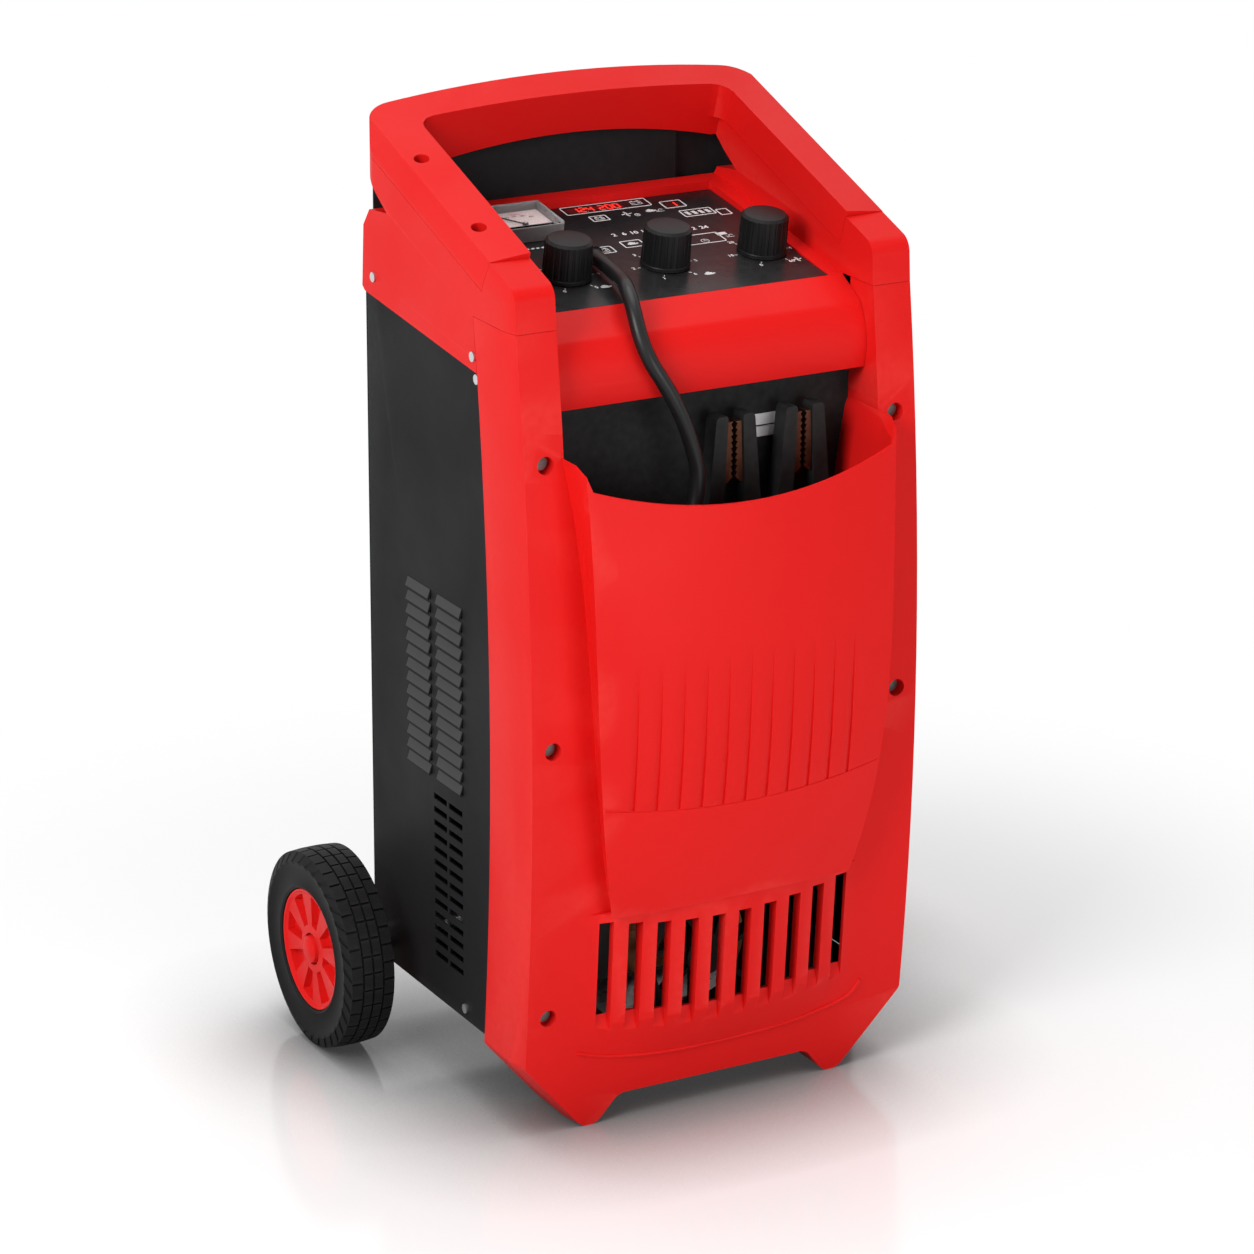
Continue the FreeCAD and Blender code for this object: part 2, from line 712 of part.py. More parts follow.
def top_cover():
    """Front corners, side skirts, front band and the deck that carries the control panel."""
    body = new_body("top_cover")
    seam = size("seam_along")
    under = -size("rail_band") - GAP
    front = front_at(POST_TOP)
    cheek = size("cheek_back")
    skirt_low = size("skirt_low")
    shoulder = size("shoulder_up")
    back = size("cover_back")
    corner = slope_point(size("corner_along"), 0)
    cheek_along = (cheek - size("rail_back") + under * SIN) / COS
    shape = [
        (front, POST_TOP + GAP), corner, slope_point(seam - GAP, 0), slope_point(seam - GAP, under),
        slope_point(cheek_along, under), (cheek, shoulder + 27), (cheek - 18, shoulder + 13),
        (cheek - 37, shoulder + 1), (cheek - 9, shoulder - 2), (back - 3, shoulder - 15),
        (back, skirt_low + 19), (back - 4, skirt_low + 16), (front_at(skirt_low) + DEPTH + GAP, skirt_low - 2),
        (front + DEPTH + GAP, POST_TOP + GAP)]
    for side, word in ((-1, "left"), (1, "right")):
        inner = POST_IN * side
        box = pad(body, "YZ", "side_" + word, [shape], HALF - POST_IN, way=side, at=inner)
    edge = front.amount

    def outer_top(middle, line):
        outside = abs(abs(middle.x) - HALF.amount) < 0.1
        ahead = middle.y < edge + 3
        line_up = size("rail_up").amount + (middle.y - size("rail_back").amount) * math.tan(
            math.radians(size("rail_slope").amount))
        return outside and line.Length > 5 and (ahead or (middle.z > line_up - 2 and middle.y < 60))

    dress(body, "Chamfer", "bezel", box, outer_top, INSET, BEZEL)
    width = HALF - POST_IN - 2 * WALL - INSET
    hollow = [
        (front + WALL, skirt_low), (corner[0] + WALL, corner[1] - 2 * WALL),
        slope_point(seam - WALL * 2, -WALL), slope_point(seam - WALL * 2, under - WALL),
        slope_point(cheek_along - WALL, under - WALL), (cheek - WALL, shoulder + 28),
        (cheek - 18 - WALL, shoulder + 14), (cheek - 37 - WALL, shoulder),
        (cheek - 37 - WALL, shoulder - 2 - WALL), (back - 3 - WALL, shoulder - 17 - WALL),
        (back - WALL, skirt_low + 19), (back - WALL, skirt_low - 10), (front + WALL, skirt_low - 10)]
    for side, word in ((-1, "left"), (1, "right")):
        cut(body, "YZ", "hollow_" + word, [hollow], width, way=side, at=(POST_IN + WALL) * side)
        lap = box_loop(front + BEZEL + WALL, back - WALL, skirt_low - 10, skirt_low + size("skirt_lap"))
        cut(body, "YZ", "lap_" + word, [lap], INSET + WALL, way=side, at=(HALF - WALL - INSET - WALL) * side)
    band_low = size("band_low")
    band = size("band_back")
    deck_from = size("deck_from")
    deck_to = size("deck_to")
    thick = size("deck_thick")
    deck = [
        (deck_from, deck_height(deck_from)), (deck_to, deck_height(deck_to) + size("rim_rise")),
        (deck_to, deck_height(deck_to) - 18), (deck_to - WALL, deck_height(deck_to) - 18),
        (deck_to - WALL, deck_height(deck_to) - thick), (deck_from, deck_height(deck_from) - thick)]
    pad(body, "YZ", "deck", [deck], 2 * POST_IN + WALL, way=0)
    strip = [
        (band + WALL, band_low), (band, band_low), Via((band - 1.8, band_low + 25)),
        (band + 7, band_low + 46.5),
        (deck_from, deck_height(deck_from)), (deck_from + WALL, deck_height(deck_from) - thick / 2),
        (deck_from, deck_height(deck_from) - thick), (band + 7, band_low + 46.5 - 2 * WALL)]
    pad(body, "YZ", "band", [strip], 2 * (POST_IN - GAP), way=0)
    panel = size("panel_half") + GAP
    recess = size("panel_thick")
    start = panel_point(size("panel_near") - GAP, 0)[0]
    stop = panel_point(size("panel_far") + 3 * GAP, 0)[0]
    cut(body, "YZ", "panel_recess", [[
        (start, deck_height(start) - recess), (stop, deck_height(stop) - recess),
        (stop, deck_height(stop) + 20), (start, deck_height(start) + 20)]], 2 * panel, way=0)
    below = deck_height(deck_from) - 20
    holes = [(size(alias), panel_point(size("knob_along"), 0)[0]) for alias in KNOB_PLACES]
    gland = [(size("gland_across"), panel_point(size("gland_along"), 0)[0])]
    cut(body, "XY", "panel_holes", [
        open_box("meter_left", "meter_right", "meter_near", "meter_far", 3)] + [
        open_box(*names, -1.4) for names in DISPLAYS], 60, at=below, circles=[
            (holes, size("bush_radius") + 1), (gland, size("gland_radius") - 1)])
    spots = [(-size("handle_screw_across"), slope_point(size(alias), under - WALL / 2)[0])
             for alias in HANDLE_SCREWS]
    cut(body, "XY", "handle_screws", [], 80, at=shoulder - 12, circles=[(spots, size("screw_radius") + 0.9)])
    cut(body, "YZ", "case_screws", [], 3 * HALF, way=0,
        circles=[(case_screws()[0], size("case_screw") + 0.1)])
    place(body)
    return keep(body)


def panel_point(along, above):
    """A bench point (back, up) given along and square to the control panel."""
    return (size("panel_back") + along * PANEL_COS - above * PANEL_SIN,
            size("panel_up") + along * PANEL_SIN + above * PANEL_COS)


def handle_frame():
    """The two rails and the arched rear bar, drawn flat and turned to the rail's slope."""
    body = new_body("handle_frame")
    band = size("rail_band")
    seam = size("seam_along")
    crown = size("rail_crown")
    bar = size("bar_along")
    drop = size("bar_drop")
    arch = size("bar_arch")
    back = size("handle_back")
    reach = (back - size("rail_back")) / COS
    lean = SIN / COS
    high = crown + 2
    turn = size("handle_corner")
    swing = turn * (1 - math.sqrt(0.5))
    end = reach - band * lean
    far = 2 * band
    ahead = seam - turn
    rails = pad(body, "XY", "rails", [[
        (-HALF, ahead), (HALF, ahead), (HALF, end - turn), Via((HALF - swing, end - swing)),
        (HALF - turn, end), (-HALF + turn, end), Via((-HALF + swing, end - swing)), (-HALF, end - turn)]],
        high + band, at=-band)
    rails.UseCustomVector = True
    rails.Direction = FreeCAD.Vector(0, SIN.amount, COS.amount)
    bind(rails, "Direction.y", SIN)
    bind(rails, "Direction.z", COS)
    cut(body, "YZ", "seam", [box_loop(ahead - band, seam, -2 * band, 2 * band)], 3 * HALF, way=0)
    radius = size("crown_radius")
    edge = HALF * HALF / (2 * radius)
    cut(body, "XZ", "crown", [[
        (-HALF - 1, crown - edge), Via((0, crown)), (HALF + 1, crown - edge), (HALF + 1, high + 9),
        (-HALF - 1, high + 9)]], 2 * reach, at=0)
    round_in = size("handle_inner_corner")
    bends = [(round_in * (1 - math.sin(t)), round_in * (1 - math.cos(t)))
             for t in (0.0, math.pi / 6, math.pi / 3, math.pi / 2)]
    right = [(POST_IN - x, bar - y) for x, y in reversed(bends)]
    left = [(x - POST_IN, bar - y) for x, y in bends]
    cut(body, "XY", "opening", [[(-POST_IN, seam - 5), (POST_IN, seam - 5)] + right + left], 4 * band, way=1,
        at=-2 * band)
    ends = POST_IN - GAP
    pad(body, "YZ", "bar", [[
        (bar, -drop), (bar, -band + 1), (reach - (band - 1) * lean, -band + 1),
        (reach - drop * lean, -drop)]], 2 * ends, way=0)
    edge_drop = crown - edge
    cut(body, "XZ", "arch", [[
        (-ends + 4, -drop), Via((0, -drop + arch)), (ends - 4, -drop), (ends - 4, -drop - 9),
        (-ends + 4, -drop - 9)]], 3 * reach, at=-reach)
    steep = INSET / BEZEL
    for side, word in ((-1, "left"), (1, "right")):
        cut(body, "XZ", "bezel_" + word, [[
            (side * HALF, edge_drop - BEZEL), (side * (HALF + 5), edge_drop - BEZEL),
            (side * (HALF + 5), edge_drop + 5), (side * (HALF - INSET - steep * 5), edge_drop + 5)]],
            3 * reach, at=-reach)
    spots = [(-size("handle_screw_across"), size(alias)) for alias in HANDLE_SCREWS]
    cut(body, "XY", "wells", [], far, way=-1, at=far - band / 2, circles=[(spots, size("handle_well"))])
    cut(body, "XY", "screw_holes", [], far, way=-1, at=far - 1 - band,
        circles=[(spots, size("screw_radius") + 0.1)])
    place(body, back=size("rail_back"), up=size("rail_up"), turn=size("rail_slope"))
    return keep(body)


def plate(name, plane, loops, thickness, at, way=1, circles=()):
    """A flat sheet with its holes."""
    body = new_body(name)
    pad(body, plane, "sheet", loops, thickness, way=way, at=at, circles=circles)
    return body


def side_panel(side, word):
    """Sheet side with two columns of hooded louvres and a slotted grille."""
    name = "side_panel_" + word
    outer = (HALF - WALL - GAP) * side
    front = size("casing_front")
    back = size("casing_back") - 2 * GAUGE
    low = size("casing_low") + GAUGE + GAP
    top = size("skirt_low") + size("skirt_lap") - GAP
    axle = (size("axle_back"), size("axle_height"))
    skirt_screws, sheet_screws = case_screws()
    body = plate(name, "YZ", [[(front, low), (back, low), (back, top), (front + 30, top), (front, top - 70)]],
                 GAUGE, outer, way=-side, circles=[([axle], size("axle_radius") + 2),
                                                   (skirt_screws + sheet_screws, size("case_screw") + 0.1)])
    first = size("louvre_top")
    pitch = size("louvre_pitch")
    rise = size("louvre_open")
    columns = (("louvre_a", "louvre_b"), ("louvre_c", "louvre_d"))
    slots = [box_loop(size(start), size(end), first, first + rise) for start, end in columns]
    opened = cut(body, "YZ", "openings", slots, 4 * GAUGE, way=-side, at=outer + GAUGE * side)
    rows(body, opened, "Z", -pitch, LOUVRES)
    grille = size("grille_top")
    slots = [box_loop(size(start), size(end), grille, grille + rise)
             for start, end in (("grille_a", "grille_b"), ("grille_c", "grille_d"))]
    opened = cut(body, "YZ", "grille", slots, 4 * GAUGE, way=-side, at=outer + GAUGE * side)
    rows(body, opened, "Z", -pitch, GRILLE_ROWS)
    lean = size("hood_lean")
    hood = [(outer - GAUGE * side / 2, first + rise), (outer, first + 2 * rise - 1),
            (outer + lean * side, first), (outer + (lean - 1) * side, first - 0.4)]
    for start, end in columns:
        hooded = pad(body, "XZ", "hood_" + start, [hood], size(end) - size(start), at=size(start))
        rows(body, hooded, "Z", -pitch, LOUVRES)
    place(body)
    return keep(body)


def casing():
    """Sheet panels that close the case, the shelf in it and the mounting rails."""
    wide = HALF - WALL - GAP - GAUGE - GAP
    low = size("casing_low")
    back = size("casing_back")
    base = plate("base_plate", "XY", [box_loop(-wide, wide, size("mount_back") + 10, back - GAUGE - GAP)],
                 GAUGE, low)
    keep(place(base))
    inlet = (size("inlet_across"), size("inlet_height"))
    rear = plate("rear_panel", "XZ", [box_loop(-wide - GAUGE, wide + GAUGE, low, size("skirt_low") + 15)],
                 GAUGE, back - GAUGE, circles=[([inlet], size("inlet_radius"))])
    keep(place(rear))
    centre = size("deck_to") + GAP
    ends = back - 3
    half = size("plate_across")
    wall = [(-half - 25, ends), (-97, ends), (-92, centre), (92, centre), (97, ends), (half + 25, ends),
            (half + 25, ends + GAUGE), (95, ends + GAUGE), (90, centre + GAUGE), (-90, centre + GAUGE),
            (-95, ends + GAUGE), (-half - 25, ends + GAUGE)]
    upper = new_body("rear_upper_cover")
    foot = size("skirt_low") + 24
    pad(upper, "XY", "wall", [wall], 100, at=foot)
    peak = slope_height(centre, -size("rail_band")) - GAP
    side_top = slope_height(centre, -size("bar_drop")) - GAP
    corner = half + GAP
    step = size("shoulder_up") - 13
    cut(upper, "XZ", "arched_top", [[
        (-corner, peak + 60), (-corner, side_top), (-corner + 4, side_top), Via((0, peak)),
        (corner - 4, side_top), (corner, side_top), (corner, peak + 60)]], 60, at=centre - 20)
    for side, word in ((-1, "left"), (1, "right")):
        cut(upper, "XZ", "end_" + word, [
            box_loop_between(side * corner, side * (half + 40), peak - 2, peak + 60),
            box_loop_between(side * half, side * (half + 40), foot - 5, step)], 60, at=centre - 20)
    keep(place(upper))
    across = size("pocket_plate_half")
    deep = size("pouch_back")
    pocket = plate("pocket_back_plate", "XZ", [box_loop(-across, across, FLOOR - 6, size("band_low") + 25)],
                   GAUGE, deep)
    keep(place(pocket))
    badge = new_body("pocket_plates")
    pad(badge, "XZ", "plates", [box_loop(42, 68, 492, 500), box_loop(44, 68, 483.4, 490.8)], 0.8, way=-1,
        at=deep)
    keep(place(badge))
    rail_out = wide - 1.2
    start = size("mount_back")
    rail = new_body("mounting_rails")
    inner = POST_IN + WALL + 3
    for side, word in ((-1, "left"), (1, "right")):
        pad(rail, "XY", "angle_" + word, [[
            (side * inner, start), (side * rail_out, start), (side * rail_out, start + 22),
            (side * (rail_out - 1.5), start + 22), (side * (rail_out - 1.5), start + 1.5),
            (side * inner, start + 1.5)]], 425, at=low + 26)
    spots = [(side * size("well_across"), size(alias)) for word, alias, sides in WELLS for side in sides]
    cut(rail, "XZ", "screw_holes", [], 20, at=start - 5, circles=[(spots, size("screw_thread") + 0.05)])
    keep(place(rail))


def slope_height(back, above):
    """Height at a bench distance back of the line held square to the rail's top edge."""
    return size("rail_up") + (back - size("rail_back")) * SIN / COS + above / COS


def box_loop_between(a, b, low, high):
    return box_loop(a, b, low, high) if amount_of(a) < amount_of(b) else box_loop(b, a, low, high)


def tilt(body):
    """Places a piece drawn on the control panel's own tilted frame."""
    return place(body, back=size("panel_back"), up=size("panel_up"), turn=size("panel_slope"))


def panel_group():
    """Control panel, knobs, switches, meter, displays and the output gland."""
    half = size("panel_half")
    near = size("panel_near")
    far = size("panel_far")
    thick = size("panel_thick")
    along = size("knob_along")
    body = new_body("control_panel")
    ledge = size("meter_ledge")
    meter = [size("meter_left") + ledge, size("meter_right") - ledge, size("meter_near") + ledge,
             size("meter_far") - ledge]
    windows = [box_loop(*[size(alias) for alias in names]) for names in DISPLAYS]
    knobs = [(size(alias), along) for alias in KNOB_PLACES]
    gland = (size("gland_across"), size("gland_along"))
    pad(body, "XY", "plate", [box_loop(-half, half, near, far), box_loop(*meter)] + windows, thick - GAP,
        way=-1, circles=[(knobs, size("bush_radius") + 0.3), ([gland], size("gland_radius") - 2)])
    tilt(keep(body))
    lenses = new_body("display_windows")
    pad(lenses, "XY", "windows", [
        box_loop(size(left) + GAP, size(right) - GAP, size(low) + GAP, size(high) - GAP)
        for left, right, low, high in DISPLAYS], thick + 6, way=-1, at=-0.2)
    tilt(keep(lenses))
    deep = size("switch_deep")
    half_switch = size("switch_half")
    under = -size("deck_thick") - 1
    for alias, word in zip(KNOB_PLACES, ("charge_switch", "current_switch", "timer")):
        across = size(alias)
        centre = panel_point(along, 0)
        bush = size("bush_radius")
        body = new_body(word)
        pad(body, "XY", "case", [box_loop(-half_switch, half_switch, -half_switch, half_switch)], deep, way=-1,
            at=under)
        pad(body, "XY", "bush", [], -under + 0.8, at=under, circles=[([(0, 0)], bush)])
        cut(body, "XY", "bore", [], 60, way=-1, at=5,
            circles=[([(0, 0)], size("shaft_radius") + size("running_fit"))])
        keep(place(body, across=across, back=centre[0], up=centre[1], turn=size("panel_slope")))
        knob = new_body(word.replace("_switch", "") + "_knob")
        lift = size("knob_lift")
        high = lift + size("knob_tall")
        radius = size("knob_radius")
        stem = size("shaft_radius")
        foot = under - deep + 4
        lathe(knob, "XZ", "cap", [
            (0, foot), (stem, foot), (stem, lift + 2.5), (bush + 3, lift + 2.5), (bush + 3, lift),
            (radius + 0.4, lift), (radius + 0.4, lift + 2), (radius, lift + 2.6), (radius - 0.5, high - 2.4),
            (radius - 2.6, high - 0.6), Via((radius / 2, high - 0.15)), (2, high), (0, high)], "V")
        cut(knob, "XY", "flutes", [], high, at=lift + 3, circles=[(ring(24, radius + 0.5), as_size(1.3))])
        keep(place(knob, across=across, back=centre[0], up=centre[1], turn=size("panel_slope")))
    board = new_body("control_board")
    pad(board, "XY", "board", [box_loop(-half + 8, half - 8, near + 27, far - 70)], 1.6, way=-1,
        at=under - deep)
    tilt(keep(board))
    post = new_body("output_gland")
    radius = size("gland_radius")
    outlet = size("outlet_height")
    lathe(post, "XZ", "boot", [
        (0, under - 4), (radius + 2, under - 4), (radius + 2, under - 0.3), (radius - 2.3, under - 0.3),
        (radius - 2.3, 0.3), (radius + 1, 0.3), (radius + 1, 3), (radius, 3.5), (radius, outlet),
        (radius * 0.92, outlet + radius * 0.4), (radius * 0.71, outlet + radius * 0.71),
        (radius * 0.4, outlet + radius * 0.92), (0, outlet + radius)], "V")
    pad(post, "XZ", "outlet", [], size("outlet_reach"), way=-1, circles=[([(0, outlet)], radius - 0.2)])
    keep(place(post, across=size("gland_across"), back=panel_point(size("gland_along"), 0)[0],
               up=panel_point(size("gland_along"), 0)[1], turn=size("panel_slope")))


def meter_group():
    """Current meter: case, dial, pointer and its clear window."""
    left, right, near, far = [size(a) for a in ("meter_left", "meter_right", "meter_near", "meter_far")]
    tall = size("meter_tall")
    wall = size("meter_wall")
    shelf = size("meter_shelf")
    case = new_body("meter_case")
    outer = box_loop(left, right, near, far)
    tub = size("meter_ledge") + GAP
    well = size("meter_ledge") + wall
    pad(case, "XY", "frame", [outer], tall - size("lens_thick"), at=GAP)
    deep = size("meter_deep")
    pad(case, "XY", "tub", [box_loop(left + tub, right - tub, near + tub, far - tub)], deep, way=-1, at=GAP + 1)
    cut(case, "XY", "hollow", [box_loop(left + wall, right - wall, near + wall, far - wall)], 2 * tall,
        at=shelf)
    cut(case, "XY", "well", [box_loop(left + well, right - well, near + well, far - well)], 2 * deep,
        at=4 - deep)
    tilt(keep(case))
    coil = new_body("meter_movement")
    spot = (size("pivot_across"), size("pivot_along"))
    inset = wall + GAP
    pin = size("needle_pin")
    pad(coil, "XY", "dial", [box_loop(left + inset, right - inset, near + inset, far - inset)],
        size("dial_thick"), at=shelf + GAP)
    pad(coil, "XY", "can", [], deep, way=-1, at=shelf + 0.5, circles=[([spot], as_size(6.2))])
    pad(coil, "XY", "foot", [], 5, at=4 - deep, circles=[([spot], as_size(5))])
    pad(coil, "XY", "pin", [], shelf + 3.5, at=0, circles=[([spot], pin)])
    tilt(keep(coil))
    needle = new_body("meter_needle")
    across, along = spot
    reach = far - wall - along - 2 * GAP
    above = shelf + GAP + size("dial_thick") + 0.5
    pad(needle, "XY", "hub", [], 1.6, at=above, circles=[([spot], as_size(2.2)), ([spot], pin + 0.06)])
    pad(needle, "XY", "pointer", [[
        (across - reach * 0.62, along + reach * 0.784), (across - 1.4, along + 1.2),
        (across - 0.5, along + 1.7), (across - reach * 0.598, along + reach * 0.801)]], 0.7, at=above + 0.4)
    tilt(keep(needle))
    lens = new_body("meter_lens")
    pad(lens, "XY", "cover", [outer], size("lens_thick"), at=tall - size("lens_thick") + GAP)
    tilt(keep(lens))


def wheel_axis(body):
    """Places a piece drawn round the X axis on the axle."""
    return place(body, back=size("axle_back"), up=size("axle_height"))


def wheel(side, word):
    """Treaded tyre on a moulded hub with five windows."""
    inner = size("tyre_inner") * side
    outer = size("tyre_outer") * side
    tall = size("axle_height")
    seat = size("hub_radius")
    into = -side
    middle = (inner + outer) / 2
    tyre = new_body("tyre_" + word)
    lathe(tyre, "XY", "section", [
        (inner, seat + 2), (inner, tall - 7), (inner + 4 * side, tall - 1.5), Via((middle, tall)),
        (outer + 4 * into, tall - 1.5), (outer, tall - 7), (outer, seat + 2), (outer + 4 * into, seat),
        (inner + 4 * side, seat)], "H")
    cut(tyre, "YZ", "tread", [], size("tyre_outer") - size("tyre_inner") + 4, way=side, at=inner - 2 * side,
        circles=[(ring(TREADS, tall + 1.2), as_size(3.2))])
    keep(wheel_axis(tyre))
    hub = new_body("hub_" + word)
    bore = size("axle_radius") + size("running_fit")
    rim = seat - 4
    lathe(hub, "XY", "section", [
        (inner, bore), (outer - 10 * side, bore), (outer - 10 * side, 14), (outer - 9 * side, 15),
        (outer - 9 * side, 20), (outer - 6 * side, rim - 2), (outer - side, rim), (outer - side, seat),
        (inner + side, seat), (inner + side, rim), (outer - 12 * side, rim - 2), (outer - 14 * side, 20),
        (outer - 14 * side, 15), (inner, 13)], "H")
    windows = []
    for number in range(5):
        turn = 90 + 72 * number
        loop = []
        for radius, half in ((22, 21), (37, 25)):
            ends = []
            for swing in (-half, 0, half):
                angle = math.radians(turn + swing)
                ends.append((radius * math.cos(angle), radius * math.sin(angle)))
            loop.append(ends)
        low, high = loop
        windows.append([low[0], Via(low[1]), low[2], high[2], Via(high[1]), high[0]])
    cut(hub, "YZ", "windows", windows, 40, way=side, at=inner)
    keep(wheel_axis(hub))


def running_gear():
    """Axle with its brackets, spacers, washers, end caps and wheels."""
    half = size("axle_half")
    axle = new_body("axle")
    pad(axle, "YZ", "rod", [], 2 * half, way=0, circles=[([(0, 0)], size("axle_radius"))])
    keep(wheel_axis(axle))
    bore = size("axle_radius") + size("running_fit")
    outside = HALF - WALL - GAP
    outer = size("tyre_outer")
    wide = outside - GAUGE - GAP
    low = size("casing_low") + GAUGE + GAP
    back = size("axle_back")
    rings = new_body("axle_spacers")
    caps = new_body("axle_caps")
    brackets = new_body("axle_brackets")
    for side, word in ((-1, "left"), (1, "right")):
        wheel(side, word)
        pad(rings, "YZ", "spacer_" + word, [], size("tyre_inner") - outside - 2 * GAP, way=side,
            at=(outside + GAP) * side, circles=[([(0, 0)], as_size(11)), ([(0, 0)], bore)])
        pad(rings, "YZ", "washer_" + word, [], 1.5, way=side, at=(outer - 9.8) * side,
            circles=[([(0, 0)], as_size(11.5)), ([(0, 0)], bore)])
        lathe(caps, "XY", "cap_" + word, [
            ((outer - 8) * side, bore), ((outer - 8) * side, 11), ((outer - 3) * side, 10),
            Via(((outer - 1.2) * side, 6)), ((outer - 0.5) * side, 2), ((outer - 0.5) * side, 0),
            ((half + 0.2) * side, 0),
            ((half + 0.2) * side, bore)], "H")
        pad(brackets, "YZ", "web_" + word, [[
            (back - 40, low), (back + 9, low), (back + 9, low + 34), (back - 14, low + 34)]], 2.5, way=-side,
            at=wide * side)
        pad(brackets, "XY", "foot_" + word, [
            box_loop_between(side * (wide - 20), side * wide, back - 40, back + 9)], 2.5, at=low)
        cut(brackets, "YZ", "hole_" + word, [], 30, way=-side, at=(wide + 3) * side,
            circles=[([(back, size("axle_height"))], bore)])
    keep(wheel_axis(rings))
    keep(wheel_axis(caps))
    keep(place(brackets))


def fan():
    """Fan behind the grille: frame with its motor post, and the bladed rotor."""
    half = size("fan_half")
    up = size("fan_height")
    front = size("fan_front")
    deep = size("fan_deep")
    hole = half - 2.5
    frame = new_body("fan_frame")
    pad(frame, "XZ", "frame", [box_loop(-half, half, -half, half)], deep, at=0, circles=[([(0, 0)], hole)])
    reach = hole + 1
    struts = (("level", box_loop(-reach, reach, -3, 3)), ("upright", box_loop(-3, 3, -reach, reach)))
    for name, loop in struts:
        pad(frame, "XZ", "strut_" + name, [loop], 3, at=deep - 3)
    pad(frame, "XZ", "motor", [], 5, at=deep - 5, circles=[([(0, 0)], as_size(15))])
    pad(frame, "XZ", "post", [], deep - 10, at=6, circles=[([(0, 0)], as_size(3))])
    keep(place(frame, back=front, up=up))
    rotor = new_body("fan_rotor")
    pad(rotor, "XZ", "hub", [], deep - 8, at=2, circles=[([(0, 0)], as_size(16))])
    cut(rotor, "XZ", "cup", [], deep, at=4, circles=[([(0, 0)], as_size(14)), ([(0, 0)], as_size(5))])
    cut(rotor, "XZ", "bore", [], deep, at=4.5, circles=[([(0, 0)], as_size(3) + size("running_fit"))])
    blades = []
    for number in range(7):
        turn = 360 * number / 7
        loop = []
        for radius, swing in ((15.2, 0), (hole - 2, 12), (hole - 2.2, 18), (15.2, 9)):
            angle = math.radians(turn + swing)
            loop.append((radius * math.cos(angle), radius * math.sin(angle)))
        blades.append(loop)
    pad(rotor, "XZ", "blades", blades, deep - 12, at=4)
    keep(place(rotor, back=front, up=up))


def transformer():
    """Laminated core standing on the base plate with its two windings and clamping angles."""
    low = size("casing_low") + GAUGE + GAP
    mid = size("core_back")
    wide = size("core_half")
    tall = size("core_tall")
    leg = wide / 3
    deep = size("core_deep")
    core = new_body("transformer_core")
    window_low = low + leg + 8
    window_high = low + tall - leg + 8
    inner = leg / 2
    pad(core, "XZ", "stack", [
        box_loop(-wide, wide, low + 8, low + tall + 8),
        box_loop(-wide + leg * 0.75, -inner, window_low, window_high),
        box_loop(inner, wide - leg * 0.75, window_low, window_high)], deep, way=0, at=mid)
    keep(place(core))
    half = (window_high - window_low) / 2
    for name, start, end in (("winding_primary", window_low + GAP, window_low + half - GAP),
                             ("winding_secondary", window_low + half + GAP, window_high - GAP)):
        coil = new_body(name)
        reach = wide - leg * 0.75 - GAP
        pad(coil, "XY", "turns", [
            box_loop(-reach, reach, mid - deep / 2 - 20, mid + deep / 2 + 20),
            box_loop(-inner - GAP, inner + GAP, mid - deep / 2 - GAP, mid + deep / 2 + GAP)], end - start,
            at=start)
        keep(place(coil))
    feet = new_body("transformer_feet")
    for side, word in ((-1, "front"), (1, "rear")):
        edge = mid + side * (deep / 2 + GAP)
        pad(feet, "YZ", "angle_" + word, [[
            (edge, low), (edge + side * 22, low), (edge + side * 22, low + 3), (edge + side * 3, low + 3),
            (edge + side * 3, low + leg), (edge, low + leg)]], 2 * wide, way=0)
    pad(feet, "XY", "seat", [box_loop(-wide, wide, mid - deep / 2 - GAP, mid + deep / 2 + GAP)], 8 - GAP,
        at=low)
    keep(place(feet))


def electronics():
    """Heat sink with its diodes on the shelf, and the inlet gland of the mains lead."""
    low = size("casing_low") + GAUGE + GAP
    back = size("sink_back")
    sink = new_body("heat_sink")
    half = 60
    pad(sink, "YZ", "spine", [box_loop(back, back + 6, low, low + 90)], 2 * half, way=0)
    fins = [box_loop(-half + 12 * n, -half + 12 * n + 2.4, low, low + 90) for n in range(10)]
    pad(sink, "XZ", "fins", fins, 30, at=back + 5)
    pad(sink, "XY", "foot", [box_loop(-half, half, back - 18, back + 5)], 3, at=low)
    keep(place(sink))
    diodes = new_body("diodes")
    spots = [(-36 + 24 * n, low + 52) for n in range(4)]
    pad(diodes, "XZ", "cases", [], 9, way=-1, at=back - GAP, circles=[(spots, as_size(8))])
    pad(diodes, "XZ", "studs", [], 18, way=-1, at=back - 8, circles=[(spots, as_size(2))])
    keep(place(diodes))
    gland = new_body("mains_inlet_gland")
    radius = size("inlet_radius")
    wall = size("casing_back")
    lathe(gland, "XY", "gland", [
        (0, 0.3), (14, 0.3), (14, 4), (11, 5), (9, 13), (0, 13)], "V")
    pad(gland, "XZ", "thread", [], 14, way=-1, at=1, circles=[([(0, 0)], radius - GAP)])
    place(gland, across=size("inlet_across"), back=wall, up=size("inlet_height"))
    keep(gland)


# Run of the output cable on the bench frame, past the edge of the panel and down into the pocket
CABLE_ROUTE = (
    (-56.0, 45.0, 602.0),
    (-58.0, 21.5, 566.0),
    (-38.4, 16.5, 535.0),
    (-23.9, 16.5, 504.0),
    (-14.0, 16.0, 465.0),
    (-40.0, 12.0, 400.0),
)


def bench(place_on):
    """A bench point as a vector in the part's own frame."""
    return FreeCAD.Vector(place_on[0], place_on[1] - CENTRE.amount, place_on[2])


